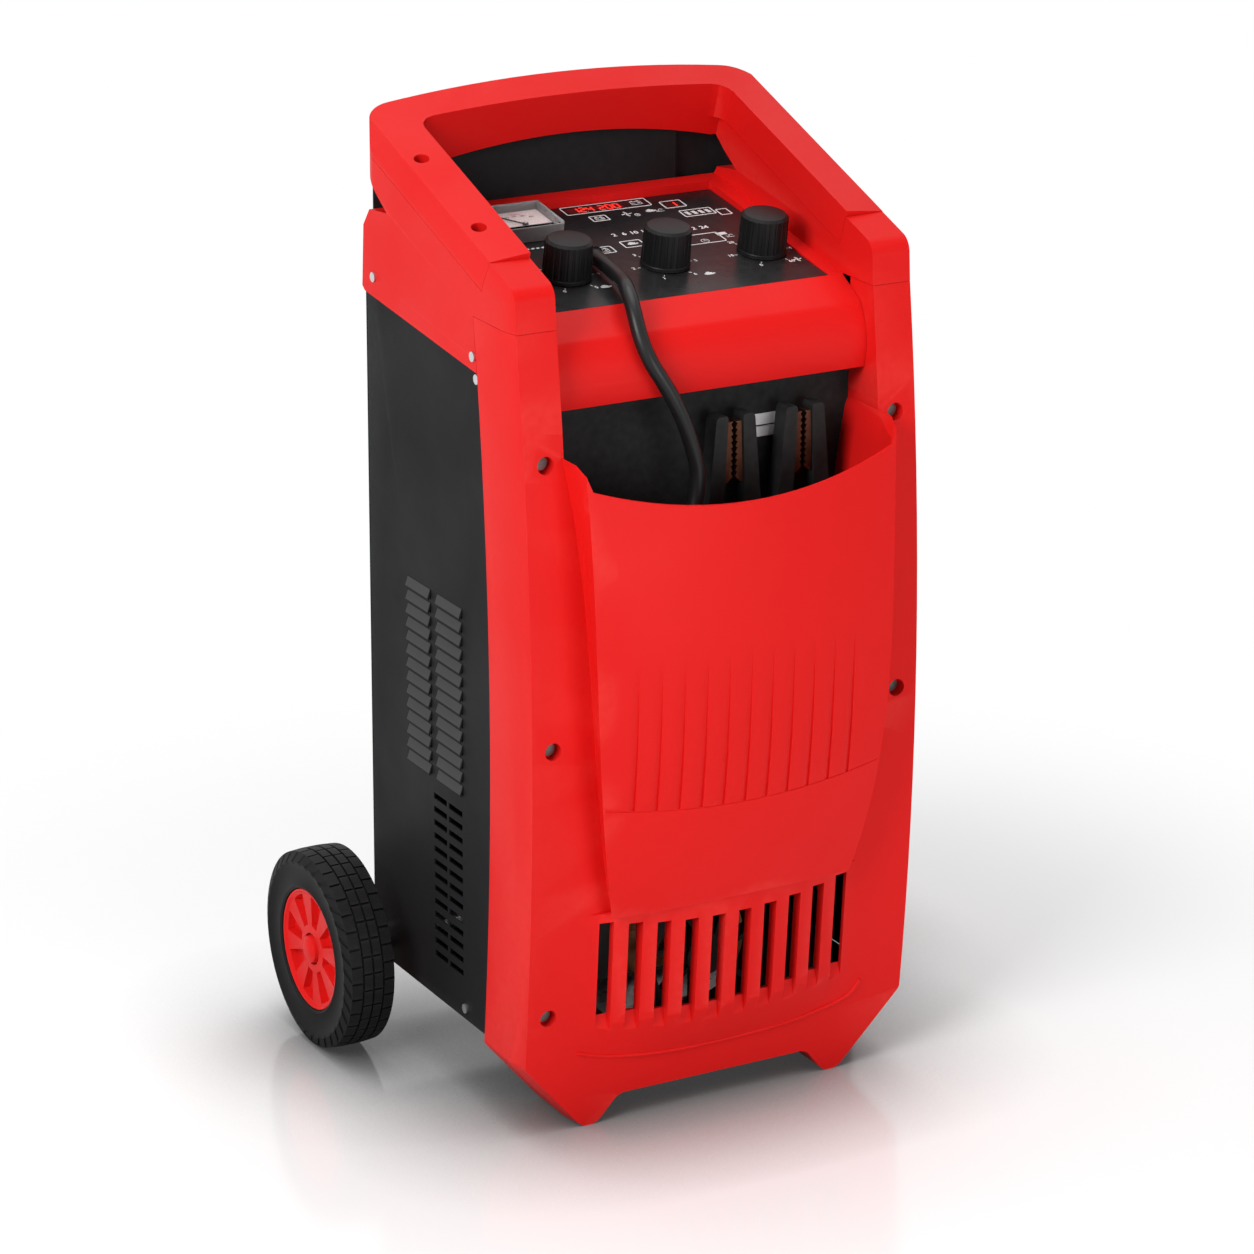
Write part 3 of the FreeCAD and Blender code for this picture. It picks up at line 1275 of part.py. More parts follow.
def rounded_route(points):
    """Straight runs joined by tangent arcs; returns the edges, their length and the radii."""
    edges = []
    radii = []
    start = points[0]
    runs = [(b - a).Length for a, b in zip(points, points[1:])]
    for number in range(1, len(points) - 1):
        corner = points[number]
        into = (corner - points[number - 1]).normalize()
        onward = (points[number + 1] - corner).normalize()
        half_turn = into.getAngle(onward) / 2
        reach = 0.45 * min(runs[number - 1], runs[number])
        radius = reach / math.tan(half_turn)
        first = corner - into * reach
        last = corner + onward * reach
        inward = (onward - into).normalize()
        crest = corner + inward * (radius / math.cos(half_turn) - radius)
        edges.append(Part.LineSegment(start, first).toShape())
        edges.append(Part.Arc(first, crest, last).toShape())
        radii.append(radius)
        start = last
    edges.append(Part.LineSegment(start, points[-1]).toShape())
    return edges, radii


def tube(name, edges, radius):
    """One round cord along joined edges, checked by its volume."""
    wire = Part.Wire(edges)
    first = wire.Edges[0]
    tangent = first.tangentAt(first.FirstParameter)
    section = Part.Wire([Part.Circle(first.valueAt(first.FirstParameter), tangent, radius.amount).toShape()])
    solid = wire.makePipeShell([section], True, False)
    ideal = math.pi * radius.amount ** 2 * wire.Length
    print("%s: length %.1f mm, volume %.3f of section times length" % (name, wire.Length, solid.Volume / ideal))
    cord = doc.addObject("Part::Feature", name)
    cord.Label = name
    cord.Shape = solid
    return keep(cord)


def coil_edges():
    """Loops of cord standing in the pocket, from the left side down and round to the right."""
    radius = size("coil_radius").amount
    pitch = size("coil_pitch").amount
    helix = Part.makeHelix(pitch, pitch * COIL_TURNS, radius, 0, True)
    helix.rotate(FreeCAD.Vector(), FreeCAD.Vector(1, 0, 0), -90)
    helix.rotate(FreeCAD.Vector(), FreeCAD.Vector(0, 1, 0), 180)
    helix.translate(bench((0.0, size("coil_start").amount, size("coil_height").amount)))
    edges = helix.Edges
    run = 2 * size("cable_radius").amount
    start = edges[0].valueAt(edges[0].FirstParameter)
    along = edges[0].tangentAt(edges[0].FirstParameter)
    end = edges[-1].valueAt(edges[-1].LastParameter)
    out = edges[-1].tangentAt(edges[-1].LastParameter)
    lead = Part.LineSegment(start - along * run, start).toShape()
    leave = Part.LineSegment(end, end + out * run).toShape()
    return [lead] + edges + [leave], start - along * run, along, end + out * run, out


def cords():
    """Output cable from the panel, its coil in the pocket, the splitter and the two tails."""
    radius = size("cable_radius")
    edges, top, along, leave, out = coil_edges()
    tube("output_cable_coil", edges, radius)
    across = size("gland_across").amount
    outlet = size("outlet_height")
    begin = size("gland_along") - size("outlet_reach")
    route = [bench((across, float(back), float(up))) for back, up in (
        panel_point(begin, outlet), panel_point(begin - 38, outlet))]
    route += [bench(point) for point in CABLE_ROUTE]
    route += [top - along * 50, top]
    runs, radii = rounded_route(route)
    tube("output_cable", runs, radius)
    print("bend radii", [round(r, 1) for r in radii])
    ends = splitter(leave, out)
    for word, side, start in (("left", 1, ends[0]), ("right", -1, ends[1])):
        middle = size("clamp_" + word).amount + side * HANDLE_SPREAD
        foot = size("clamp_height").amount - HANDLE_LONG
        goal = bench((middle, size("clamp_back").amount, foot))
        rise = FreeCAD.Vector(0, 0, (goal - start).z * 0.28)
        runs, radii = rounded_route([start, start + rise, goal - rise, goal])
        tube("clamp_lead_" + word, runs, size("tail_radius"))
        print("bend radii", [round(r, 1) for r in radii])


def splitter(leave, out):
    """Moulded block where the cable parts into its two tails."""
    body = new_body("cable_splitter")
    back = leave.y + CENTRE.amount
    low = leave.z + 0.2
    tall = 26
    across = leave.x
    pad(body, "XZ", "block", [[
        (across - 7, low), (across + 7, low), (across + 12, low + 12), (across + 12, low + tall),
        (across - 12, low + tall), (across - 12, low + 12)]], 12, way=0, at=back + 0.2)
    place(body)
    keep(body)
    top = low + tall
    return [bench((across + x, back, top)) for x in (-7, 7)]


def clamp(word, side):
    """One spring clamp standing jaws up: fixed half, moving half, copper jaws, pin and spring."""
    centre = size("clamp_" + word)
    pivot = size("clamp_height")
    thick = size("clamp_thick")
    back = size("clamp_back")
    shapes = {}
    for kind, way in (("fixed", side), ("moving", -side)):
        half = new_body("clamp_%s_%s" % (word, kind))
        spread = HANDLE_SPREAD

        def at(x, z):
            return (centre + way * x, pivot + z)

        arm = [at(spread - 4.5, -HANDLE_LONG), at(spread + 4.5, -HANDLE_LONG), at(21.5, -30), at(22, 0),
               at(20, 20), at(15.5, 71), at(13.5, 73), at(7, 73), at(6, 71), at(8, 22), at(9, 9), at(8, -9),
               at(12.5, -30)]
        pad(half, "XZ", "arm", [arm], thick, way=0, at=back)
        ear_deep = 1.8
        ear_back = back + thick / 2 - (ear_deep if kind == "fixed" else 2 * ear_deep + 0.2)
        ear = [at(-6, -6), at(9, -8), at(9, 8), at(-6, 6)]
        for number, start in enumerate((ear_back, 2 * back - ear_back - ear_deep)):
            pad(half, "XZ", "ear_%d" % number, [ear], ear_deep, at=start)
        if kind == "fixed":
            pad(half, "XZ", "pin", [], thick, way=0, at=back,
                circles=[([(centre, pivot)], size("pin_radius"))])
        else:
            cut(half, "XZ", "pin_hole", [], 40, at=back - 20,
                circles=[([(centre, pivot)], size("pin_radius") + size("running_fit"))])
        keep(place(half))
        jaw = new_body("jaw_%s_%s" % (word, kind))
        teeth = [at(5.7, 68), at(7.4, 24), at(5.4, 24)]
        for n in range(9):
            base = 28 + n * 4.4
            teeth += [at(1.0, base), at(2.6, base + 3.4)]
        teeth += [at(1.0, 68)]
        pad(jaw, "XZ", "jaw", [teeth], thick - 4, way=0, at=back)
        keep(place(jaw))
    spring = doc.addObject("Part::Feature", "clamp_spring_" + word)
    spring.Label = "clamp_spring_" + word
    coil = Part.makeHelix(1.5, 4.6, 3.6)
    first = coil.Edges[0]
    start = first.FirstParameter
    section = Part.Wire([Part.Circle(first.valueAt(start), first.tangentAt(start), 0.6).toShape()])
    shape = Part.Wire(coil.Edges).makePipeShell([section], True, True)
    shape.rotate(FreeCAD.Vector(), FreeCAD.Vector(1, 0, 0), -90)
    shape.translate(bench((centre.amount, back.amount - 2.3, pivot.amount)))
    spring.Shape = shape
    keep(spring)


def screws():
    """Screws of the front wells, the case sides and the handle, each kind as one group."""
    front = new_body("front_screws")
    head = size("screw_head")
    thread = size("screw_thread")
    for word, alias, sides in WELLS:
        height = size(alias)
        places = [(side * size("well_across"), height) for side in sides]
        seat = front_at(height) + size("well_depth") - 0.05
        pad(front, "XZ", "head_" + word, [], head, way=-1, at=seat, circles=[(places, size("screw_radius") * 1.9)])
        pad(front, "XZ", "shank_" + word, [], size("mount_back") + 3 - seat, at=seat - 1,
            circles=[(places, thread)])
    keep(place(front))
    side_group = new_body("side_screws")
    for side, word in ((-1, "left"), (1, "right")):
        upper, lower = case_screws()
        for name, places, face in (("cover", upper, HALF), ("case", lower, HALF - WALL - GAP)):
            pad(side_group, "YZ", "head_%s_%s" % (name, word), [], 1.8, way=side, at=face * side,
                circles=[(places, as_size(3.6))])
            pad(side_group, "YZ", "shank_%s_%s" % (name, word), [], 8, way=-side, at=(face + 0.5) * side,
                circles=[(places, size("case_screw"))])
    keep(place(side_group))
    top = new_body("handle_screws")
    spots = [(-size("handle_screw_across"), size(alias)) for alias in HANDLE_SCREWS]
    seat = -size("rail_band") / 2
    pad(top, "XY", "heads", [], head, at=seat, circles=[(spots, size("screw_radius") * 1.9)])
    pad(top, "XY", "shanks", [], size("rail_band"), way=-1, at=seat + 1, circles=[(spots, thread)])
    keep(place(top, back=size("rail_back"), up=size("rail_up"), turn=size("rail_slope")))


front_shell()
top_cover()
handle_frame()
side_panel(-1, "left")
side_panel(1, "right")
casing()
panel_group()
meter_group()
running_gear()
fan()
transformer()
electronics()
cords()
clamp("left", 1)
clamp("right", -1)
screws()


# Checks and export
doc.recompute()
for thing in doc.Objects:
    if "Invalid" in thing.State or "Error" in thing.State:
        raise RuntimeError("%s is in state %s" % (thing.Label, thing.State))
for made in CUTS:
    before = made.BaseFeature.Shape.Volume
    if made.Shape.Volume > before - 1:
        raise RuntimeError("%s removes nothing" % made.Label)
os.makedirs("parts", exist_ok=True)
for node in NODES:
    if node.Shape.isNull() or not node.Shape.isValid():
        raise RuntimeError("%s has no valid shape" % node.Label)
    node.Shape.exportStep("parts/%s.step" % node.Label)
print("%d pieces" % len(NODES))
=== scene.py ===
import bpy
import json
import math
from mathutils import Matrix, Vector

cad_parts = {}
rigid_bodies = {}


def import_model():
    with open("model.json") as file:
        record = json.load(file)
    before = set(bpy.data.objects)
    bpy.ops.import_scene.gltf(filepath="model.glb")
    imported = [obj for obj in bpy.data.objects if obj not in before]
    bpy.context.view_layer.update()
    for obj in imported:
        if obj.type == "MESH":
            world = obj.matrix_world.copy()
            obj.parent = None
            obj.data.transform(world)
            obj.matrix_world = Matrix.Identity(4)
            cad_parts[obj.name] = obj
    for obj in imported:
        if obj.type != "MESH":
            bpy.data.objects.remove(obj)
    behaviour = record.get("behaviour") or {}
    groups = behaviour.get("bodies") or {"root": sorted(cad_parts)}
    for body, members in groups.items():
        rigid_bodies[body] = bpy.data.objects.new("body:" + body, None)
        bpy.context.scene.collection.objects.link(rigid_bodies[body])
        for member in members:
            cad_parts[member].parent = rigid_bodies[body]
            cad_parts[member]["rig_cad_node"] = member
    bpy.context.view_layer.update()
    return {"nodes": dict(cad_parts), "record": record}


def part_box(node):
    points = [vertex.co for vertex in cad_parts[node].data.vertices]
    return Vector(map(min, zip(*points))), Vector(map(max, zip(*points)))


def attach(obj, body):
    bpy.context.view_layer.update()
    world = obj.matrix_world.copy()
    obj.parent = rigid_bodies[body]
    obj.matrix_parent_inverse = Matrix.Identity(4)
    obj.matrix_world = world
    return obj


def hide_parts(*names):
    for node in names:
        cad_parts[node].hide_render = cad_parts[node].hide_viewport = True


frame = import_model()
NODES = frame["nodes"]
MM = 0.001

# Places shared with the part's source, in millimetres on the bench frame
CENTRE = 140.75
PANEL_BACK = 76.5
PANEL_UP = 592.4
PANEL_SLOPE = math.radians(8.93)
KNOBS = (-68.0, 10.5, 89.0)
KNOB_ALONG = 38.0
KNOB_RADIUS = 17.5
GLAND = (-41.5, 63.0)
OUTLET_HEIGHT = 9.5
OUTLET_REACH = 15.0
PIVOT = (-60.0, 116.0)
DIAL_ABOVE = 6.12


def bench(across, back, up):
    """A bench point in the part's frame, in metres."""
    return Vector((across, back - CENTRE, up)) * MM


def on_panel(across, along, above):
    """A point given on the sloping control panel."""
    back = PANEL_BACK + along * math.cos(PANEL_SLOPE) - above * math.sin(PANEL_SLOPE)
    up = PANEL_UP + along * math.sin(PANEL_SLOPE) + above * math.cos(PANEL_SLOPE)
    return bench(across, back, up)


# Camera
def place_camera():
    """The photograph's view: from the front left, a little above."""
    azimuth = math.radians(-29.05)
    height = math.radians(19.08)
    roll = math.radians(0.31)
    distance = 3.2308
    target = Vector((-0.00915, -0.01015, 0.3276))
    level = Vector((math.sin(azimuth), -math.cos(azimuth), 0))
    back = level * math.cos(height) + Vector((0, 0, math.sin(height)))
    bpy.ops.object.camera_add(location=target + back * distance)
    camera = bpy.context.object
    camera.name = "photo_camera"
    camera.rotation_euler = (-back).to_track_quat("-Z", "Y").to_euler()
    camera.rotation_euler.rotate_axis("Z", roll)
    camera.data.lens = 128.5
    camera.data.sensor_width = 36.0
    bpy.context.scene.camera = camera


# Cords
CABLE_RADIUS = 5.5
TAIL_RADIUS = 3.5
CABLE_ROUTE = (
    (-56.0, 45.0, 602.0),
    (-58.0, 21.5, 566.0),
    (-38.4, 16.5, 535.0),
    (-23.9, 16.5, 504.0),
    (-14.0, 16.0, 465.0),
    (-40.0, 12.0, 400.0),
)
COIL = {"radius": 62.0, "pitch": 12.2, "up": 252.0, "start": 2.5, "turns": 3.5, "lead": 11.0}
TURN_POINTS = 14
LEAD_IN = 50.0
GLAND_STRAIGHT = 38.0
SPLITTER_BACK = -0.0952
TAIL_APART = 7.0
TAIL_RISE = 0.28
CLAMP_FOOT = (36.0, 374.0)


def coil_points():
    """Points of the loops in the pocket, from the left side down and round to the right."""
    slope = COIL["pitch"] / (2 * math.pi * COIL["radius"])
    along = Vector((0.0, slope, -1.0)).normalized()
    first = Vector((-COIL["radius"], COIL["start"], COIL["up"]))
    steps = round(COIL["turns"] * TURN_POINTS)
    wide = COIL["radius"] / math.cos(math.pi / TURN_POINTS)
    points = [first - along * (COIL["lead"] + LEAD_IN), first - along * COIL["lead"]]
    for step in range(steps):
        turns = (step + 0.5) / TURN_POINTS
        turn = 2 * math.pi * turns
        points.append(Vector((-wide * math.cos(turn), COIL["start"] + COIL["pitch"] * turns,
                              COIL["up"] - wide * math.sin(turn))))
    last = Vector((COIL["radius"], COIL["start"] + COIL["pitch"] * COIL["turns"], COIL["up"]))
    points.append(last + Vector((0.0, slope, 1.0)).normalized() * COIL["lead"])
    return [bench(*point) for point in points]


def lay_cord(name, points, radius):
    """A round cord on one smooth spline through a route."""
    curve = bpy.data.curves.new(name, "CURVE")
    curve.dimensions = "3D"
    spline = curve.splines.new("NURBS")
    spline.points.add(len(points) - 1)
    for spot, point in zip(spline.points, points):
        spot.co = (*point, 1.0)
    spline.order_u = 3
    spline.use_endpoint_u = True
    spline.resolution_u = 8
    curve.bevel_depth = radius * MM
    curve.bevel_resolution = 5
    curve.use_fill_caps = True
    cord = bpy.data.objects.new(name, curve)
    bpy.context.scene.collection.objects.link(cord)
    return cord


def lay_cords():
    """Output cable with its loops, and the two tails from the splitter to the clamps."""
    begin = GLAND[1] - OUTLET_REACH
    exit_point = on_panel(GLAND[0], begin, OUTLET_HEIGHT)
    route = [exit_point, on_panel(GLAND[0], begin - GLAND_STRAIGHT, OUTLET_HEIGHT)]
    route += [bench(*point) for point in CABLE_ROUTE]
    route += coil_points()
    cable = lay_cord("charging_cable", route, CABLE_RADIUS)
    cable.data.materials.append(CORD_RUBBER)
    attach(cable, "case")
    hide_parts("output_cable", "output_cable_coil")
    low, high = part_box("cable_splitter")
    middle = (low + high) / 2
    for word, side, clamp_across, length in (("left", -1, 38.0, 0.0888), ("right", 1, 58.0, 0.0871)):
        start = Vector((middle.x + side * TAIL_APART * MM, SPLITTER_BACK, high.z))
        goal = bench(clamp_across, *CLAMP_FOOT)
        rise = Vector((0, 0, (goal.z - start.z) * TAIL_RISE))
        tail = lay_cord("clamp_tail_" + word, [start, start + rise, goal - rise, goal], TAIL_RADIUS)
        tail.data.materials.append(CORD_RUBBER)
        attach(tail, "case")
        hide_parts("clamp_lead_" + word)


# Effects that several finishes share
def new_group(name, inputs, outputs):
    """An empty group of nodes with its number sockets, its entry and its exit."""
    group = bpy.data.node_groups.new(name, "ShaderNodeTree")
    for label, value in inputs.items():
        group.interface.new_socket(label, in_out="INPUT", socket_type="NodeSocketFloat").default_value = value
    for label in outputs:
        group.interface.new_socket(label, in_out="OUTPUT", socket_type="NodeSocketFloat")
    return group, group.nodes.new("NodeGroupInput"), group.nodes.new("NodeGroupOutput")


def added(tree, kind, **values):
    """A node with its settings and unlinked inputs given by name, settings first."""
    node = tree.nodes.new("ShaderNode" + kind)
    for key, value in values.items():
        if hasattr(node, key) and key != "color":
            setattr(node, key, value)
        else:
            node.inputs[key.replace("_", " ").title()].default_value = value
    return node


def wired(tree, *links):
    """Links nodes; each link gives a node, its output, the next node and that one's input."""
    for start, output, goal, entry in links:
        tree.links.new(start.outputs[output], goal.inputs[entry])


def grain_group():
    """Fine moulded grain: a height for bumps and a soft mottle for gloss."""
    group, entry, leave = new_group("moulded grain", {"Scale": 900.0}, ("Height", "Mottle"))
    place = added(group, "TexCoord")
    fine = added(group, "TexNoise", detail=3.0, roughness=0.6)
    broad = added(group, "TexNoise", scale=14.0, detail=4.0)
    wired(group, (place, "Object", fine, "Vector"), (entry, "Scale", fine, "Scale"),
          (place, "Object", broad, "Vector"), (fine, "Fac", leave, "Height"), (broad, "Fac", leave, "Mottle"))
    return group


def dust_group():
    """Faint dust that lies on faces that look up, more in hollows of a slow noise."""
    group, entry, leave = new_group("resting dust", {"Amount": 0.1}, ("Mask",))
    surface = added(group, "NewGeometry")
    split = added(group, "SeparateXYZ")
    place = added(group, "TexCoord")
    patch = added(group, "TexNoise", scale=42.0, detail=6.0, roughness=0.7)
    rise = added(group, "MapRange", from_min=0.35, from_max=1.0)
    both = added(group, "Math", operation="MULTIPLY")
    share = added(group, "Math", operation="MULTIPLY")
    wired(group, (surface, "Normal", split, "Vector"), (split, "Z", rise, "Value"),
          (place, "Object", patch, "Vector"), (rise, "Result", both, 0), (patch, "Fac", both, 1),
          (both, "Value", share, 0), (entry, "Amount", share, 1), (share, "Value", leave, "Mask"))
    return group


def wear_group():
    """Rubbed edges, from how sharply the surface turns, broken up by a noise."""
    group, entry, leave = new_group("rubbed edges", {"Sharpness": 0.56}, ("Mask",))
    surface = added(group, "NewGeometry")
    place = added(group, "TexCoord")
    broken = added(group, "TexNoise", scale=160.0, detail=5.0)
    edge = added(group, "MapRange", from_max=0.66)
    both = added(group, "Math", operation="MULTIPLY")
    wired(group, (surface, "Pointiness", edge, "Value"), (entry, "Sharpness", edge, "From Min"),
          (place, "Object", broken, "Vector"), (edge, "Result", both, 0), (broken, "Fac", both, 1),
          (both, "Value", leave, "Mask"))
    return group


GRAIN = grain_group()
DUST = dust_group()
WEAR = wear_group()
DUST_TONE = (0.42, 0.40, 0.37, 1)
ROUGH_SPREAD = 0.08


def new_material(name):
    """A material with its tree of nodes and its surface node."""
    material = bpy.data.materials.new(name)
    material.use_nodes = True
    return material, material.node_tree, material.node_tree.nodes["Principled BSDF"]


def finish_of(name, colour, shade, worn, rough, metal=0.0, grain=900.0, depth=0.04, dust=0.08, gloss=0.5):
    """A finish whose colour mottles between two shades, dulls under dust and pales where it is rubbed."""
    material, tree, surface = new_material(name)
    surface.inputs["Metallic"].default_value = metal
    surface.inputs["Specular IOR Level"].default_value = gloss
    grains = added(tree, "Group", node_tree=GRAIN, scale=grain)
    dusts = added(tree, "Group", node_tree=DUST, amount=dust)
    wears = added(tree, "Group", node_tree=WEAR)
    tone = added(tree, "Mix", data_type="RGBA", a=(*colour, 1), b=(*shade, 1))
    rubbed = added(tree, "Mix", data_type="RGBA", b=(*worn, 1))
    settled = added(tree, "Mix", data_type="RGBA", b=DUST_TONE)
    dull = added(tree, "MapRange", from_min=0.3, from_max=0.7,
                 to_min=rough - ROUGH_SPREAD, to_max=rough + ROUGH_SPREAD)
    bump = added(tree, "Bump", strength=0.6, distance=depth * MM)
    wired(tree, (grains, "Mottle", tone, "Factor"), (tone, "Result", rubbed, "A"),
          (wears, "Mask", rubbed, "Factor"), (rubbed, "Result", settled, "A"),
          (dusts, "Mask", settled, "Factor"), (settled, "Result", surface, "Base Color"),
          (grains, "Mottle", dull, "Value"), (dull, "Result", surface, "Roughness"),
          (grains, "Height", bump, "Height"), (bump, "Normal", surface, "Normal"))
    return material


RED_MOULDED = finish_of("red moulded plastic", (0.68, 0.010, 0.009), (0.65, 0.009, 0.008),
                        (0.72, 0.03, 0.025), 0.40, gloss=0.09, depth=0.03, grain=1100.0, dust=0.006)
BLACK_SHEET = finish_of("black powder coat", (0.008, 0.008, 0.009), (0.011, 0.011, 0.012), (0.03, 0.03, 0.03),
                        0.55, grain=520.0, depth=0.05, dust=0.006, gloss=0.07)
# Paler black for the louvre hoods: a painted highlight where their faces look up to the light.
HOOD_HIGHLIGHT_SHEET = finish_of("powder coat with painted hood highlight", (0.040, 0.040, 0.041), (0.048, 0.048, 0.049), (0.07, 0.07, 0.07),
                       0.50, grain=520.0, depth=0.05, dust=0.006, gloss=0.10)
BRIGHT_PLATE = finish_of("brushed label plate", (0.66, 0.66, 0.67), (0.50, 0.50, 0.51), (0.80, 0.80, 0.80),
                         0.40, metal=0.3, grain=260.0, depth=0.02, dust=0.01)
# Dark steel for the black front screw heads; on the handle screws the same dark colour is painted shade for
# screws deep in their holes.
BLACK_SCREW_AND_HOLE_SHADE = finish_of("black screw with painted hole shade", (0.055, 0.052, 0.050), (0.035, 0.034, 0.033), (0.30, 0.28, 0.27),
                        0.34, metal=1.0, grain=260.0, depth=0.02, dust=0.01)
PANEL_FILM = finish_of("black panel film", (0.006, 0.006, 0.007), (0.009, 0.009, 0.010), (0.05, 0.05, 0.05),
                       0.30, grain=1500.0, depth=0.012, dust=0.004, gloss=0.22)
ZINC = finish_of("zinc plate", (0.62, 0.62, 0.63), (0.50, 0.51, 0.53), (0.80, 0.80, 0.80),
                 0.27, metal=1.0, grain=260.0, depth=0.02, dust=0.02)
KNOB_BLACK = finish_of("black knob plastic", (0.006, 0.006, 0.006), (0.008, 0.008, 0.009), (0.03, 0.03, 0.03),
                       0.40, grain=1300.0, depth=0.03, dust=0.006, gloss=0.14)
METER_SHELL = finish_of("pale meter case", (0.20, 0.185, 0.185), (0.16, 0.15, 0.15), (0.30, 0.28, 0.28),
                        0.30, grain=900.0, depth=0.01, dust=0.004, gloss=0.30)
TYRE_RUBBER = finish_of("tyre rubber", (0.006, 0.006, 0.006), (0.010, 0.010, 0.010), (0.03, 0.03, 0.029),
                        0.58, grain=380.0, depth=0.09, dust=0.008, gloss=0.10)
CORD_RUBBER = finish_of("cord rubber", (0.006, 0.006, 0.007), (0.010, 0.010, 0.010), (0.03, 0.03, 0.03),
                        0.36, grain=420.0, depth=0.03, dust=0.008, gloss=0.24)
LAMINATION = finish_of("varnished laminations", (0.05, 0.05, 0.055), (0.09, 0.088, 0.085), (0.2, 0.2, 0.2),
                       0.45, metal=0.6, grain=200.0, depth=0.05)
WINDING = finish_of("enamelled wire", (0.20, 0.07, 0.02), (0.26, 0.10, 0.03), (0.5, 0.28, 0.14),
                    0.38, metal=0.5, grain=300.0, depth=0.08)
ALUMINIUM = finish_of("extruded aluminium", (0.72, 0.72, 0.74), (0.62, 0.62, 0.65), (0.85, 0.85, 0.85),
                      0.36, metal=1.0, grain=240.0, depth=0.03)
COPPER = finish_of("copper plate", (0.055, 0.019, 0.011), (0.04, 0.014, 0.009), (0.20, 0.09, 0.055),
                   0.42, metal=1.0, grain=300.0, depth=0.03)
BOARD = finish_of("circuit board", (0.02, 0.12, 0.05), (0.03, 0.16, 0.07), (0.3, 0.3, 0.2), 0.4, grain=300.0)
DIAL_WHITE = finish_of("printed dial", (0.56, 0.44, 0.43), (0.52, 0.41, 0.40), (0.6, 0.5, 0.5),
                       0.5, grain=900.0, depth=0.004, dust=0.0)
WHITE_INK = finish_of("white ink", (0.80, 0.80, 0.80), (0.68, 0.68, 0.70), (0.5, 0.5, 0.5),
                      0.5, grain=1500.0, depth=0.01, dust=0.0)
RED_INK = finish_of("red ink", (0.60, 0.02, 0.02), (0.5, 0.02, 0.02), (0.5, 0.1, 0.1), 0.5, dust=0.0)
BLACK_INK = finish_of("black ink", (0.02, 0.02, 0.02), (0.05, 0.04, 0.04), (0.1, 0.1, 0.1), 0.5, dust=0.0)
WINDOW_DARK = finish_of("smoked window", (0.030, 0.002, 0.002), (0.040, 0.003, 0.003), (0.1, 0.02, 0.02),
                        0.18, depth=0.004, dust=0.0)


def clear_window():
    """Clear moulded window with faint haze and fine scuffs, which throws no shadow."""
    material, tree, surface = new_material("clear window")
    surface.inputs["Base Color"].default_value = (0.96, 0.97, 0.97, 1)
    surface.inputs["Transmission Weight"].default_value = 1.0
    surface.inputs["IOR"].default_value = 1.46
    place = added(tree, "TexCoord")
    haze = added(tree, "TexNoise", scale=90.0, detail=6.0)
    spread = added(tree, "MapRange", to_min=0.02, to_max=0.10)
    path = added(tree, "LightPath")
    letting = added(tree, "BsdfTransparent")
    mixed = added(tree, "MixShader")
    wired(tree, (place, "Object", haze, "Vector"), (haze, "Fac", spread, "Value"),
          (spread, "Result", surface, "Roughness"), (path, "Is Shadow Ray", mixed, "Fac"),
          (surface, "BSDF", mixed, 1), (letting, "BSDF", mixed, 2),
          (mixed, "Shader", tree.nodes["Material Output"], "Surface"))
    return material


def lit_segments():
    """Red lit digits, a little uneven along each segment."""
    material, tree, surface = new_material("lit segments")
    surface.inputs["Base Color"].default_value = (0.5, 0.01, 0.01, 1)
    surface.inputs["Emission Strength"].default_value = 0.9
    place = added(tree, "TexCoord")
    uneven = added(tree, "TexNoise", scale=300.0, detail=2.0)
    tone = added(tree, "Mix", data_type="RGBA", a=(0.75, 0.02, 0.012, 1), b=(0.95, 0.05, 0.03, 1))
    wired(tree, (place, "Object", uneven, "Vector"), (uneven, "Fac", tone, "Factor"),
          (tone, "Result", surface, "Emission Color"))
    return material


CLEAR = clear_window()
LIT = lit_segments()

FINISH_BY_SLOT = {
    "red_plastic": RED_MOULDED,
    "black_sheet": BLACK_SHEET,
    "panel_black": PANEL_FILM,
    "zinc_steel": ZINC,
    "black_plastic": KNOB_BLACK,
    "clear_plastic": CLEAR,
    "red_window": WINDOW_DARK,
    "dial_white": DIAL_WHITE,
    "board_green": BOARD,
    "tyre_rubber": TYRE_RUBBER,
    "cord_rubber": CORD_RUBBER,
    "lamination": LAMINATION,
    "winding": WINDING,
    "aluminium": ALUMINIUM,
    "copper": COPPER,
}

# The handle screws take the dark screw finish as painted shade for their deep holes.
OWN_FINISH = {"pocket_plates": BRIGHT_PLATE, "axle_caps": RED_MOULDED, "front_screws": BLACK_SCREW_AND_HOLE_SHADE,
              "handle_screws": BLACK_SCREW_AND_HOLE_SHADE, "meter_case": METER_SHELL}


def finish_nodes():
    """Every piece of the frame takes its finish from its slot."""
    for part in frame["record"]["subparts"]:
        node = NODES[part["node"]]
        node.data.materials.clear()
        node.data.materials.append(OWN_FINISH.get(part["node"], FINISH_BY_SLOT[part["material_slot"]]))


# Mouldings with soft edges
WELD = 0.00002
TINY = 0.00001
CORNER_STEPS = 6
EDGE_STEPS = 3
SHARP_ANGLE = 30.0


def clear_choice():
    """Nothing selected, and points chosen first in edit mode."""
    bpy.ops.object.select_all(action="DESELECT")
    bpy.context.tool_settings.mesh_select_mode = (True, False, False)


def shown(piece):
    """Selects one piece and makes it active."""
    clear_choice()
    piece.select_set(True)
    bpy.context.view_layer.objects.active = piece
    return piece


def picked(piece, kind, test):
    """Leaves edit mode open with only the points, edges or faces that pass the test chosen."""
    mesh = piece.data
    bpy.ops.object.mode_set(mode="OBJECT")
    for group in (mesh.vertices, mesh.edges, mesh.polygons):
        group.foreach_set("select", [False] * len(group))
    for item in getattr(mesh, kind):
        item.select = test(item)
    bpy.context.tool_settings.mesh_select_mode = (kind == "vertices", kind == "edges", kind == "polygons")
    bpy.ops.object.mode_set(mode="EDIT")


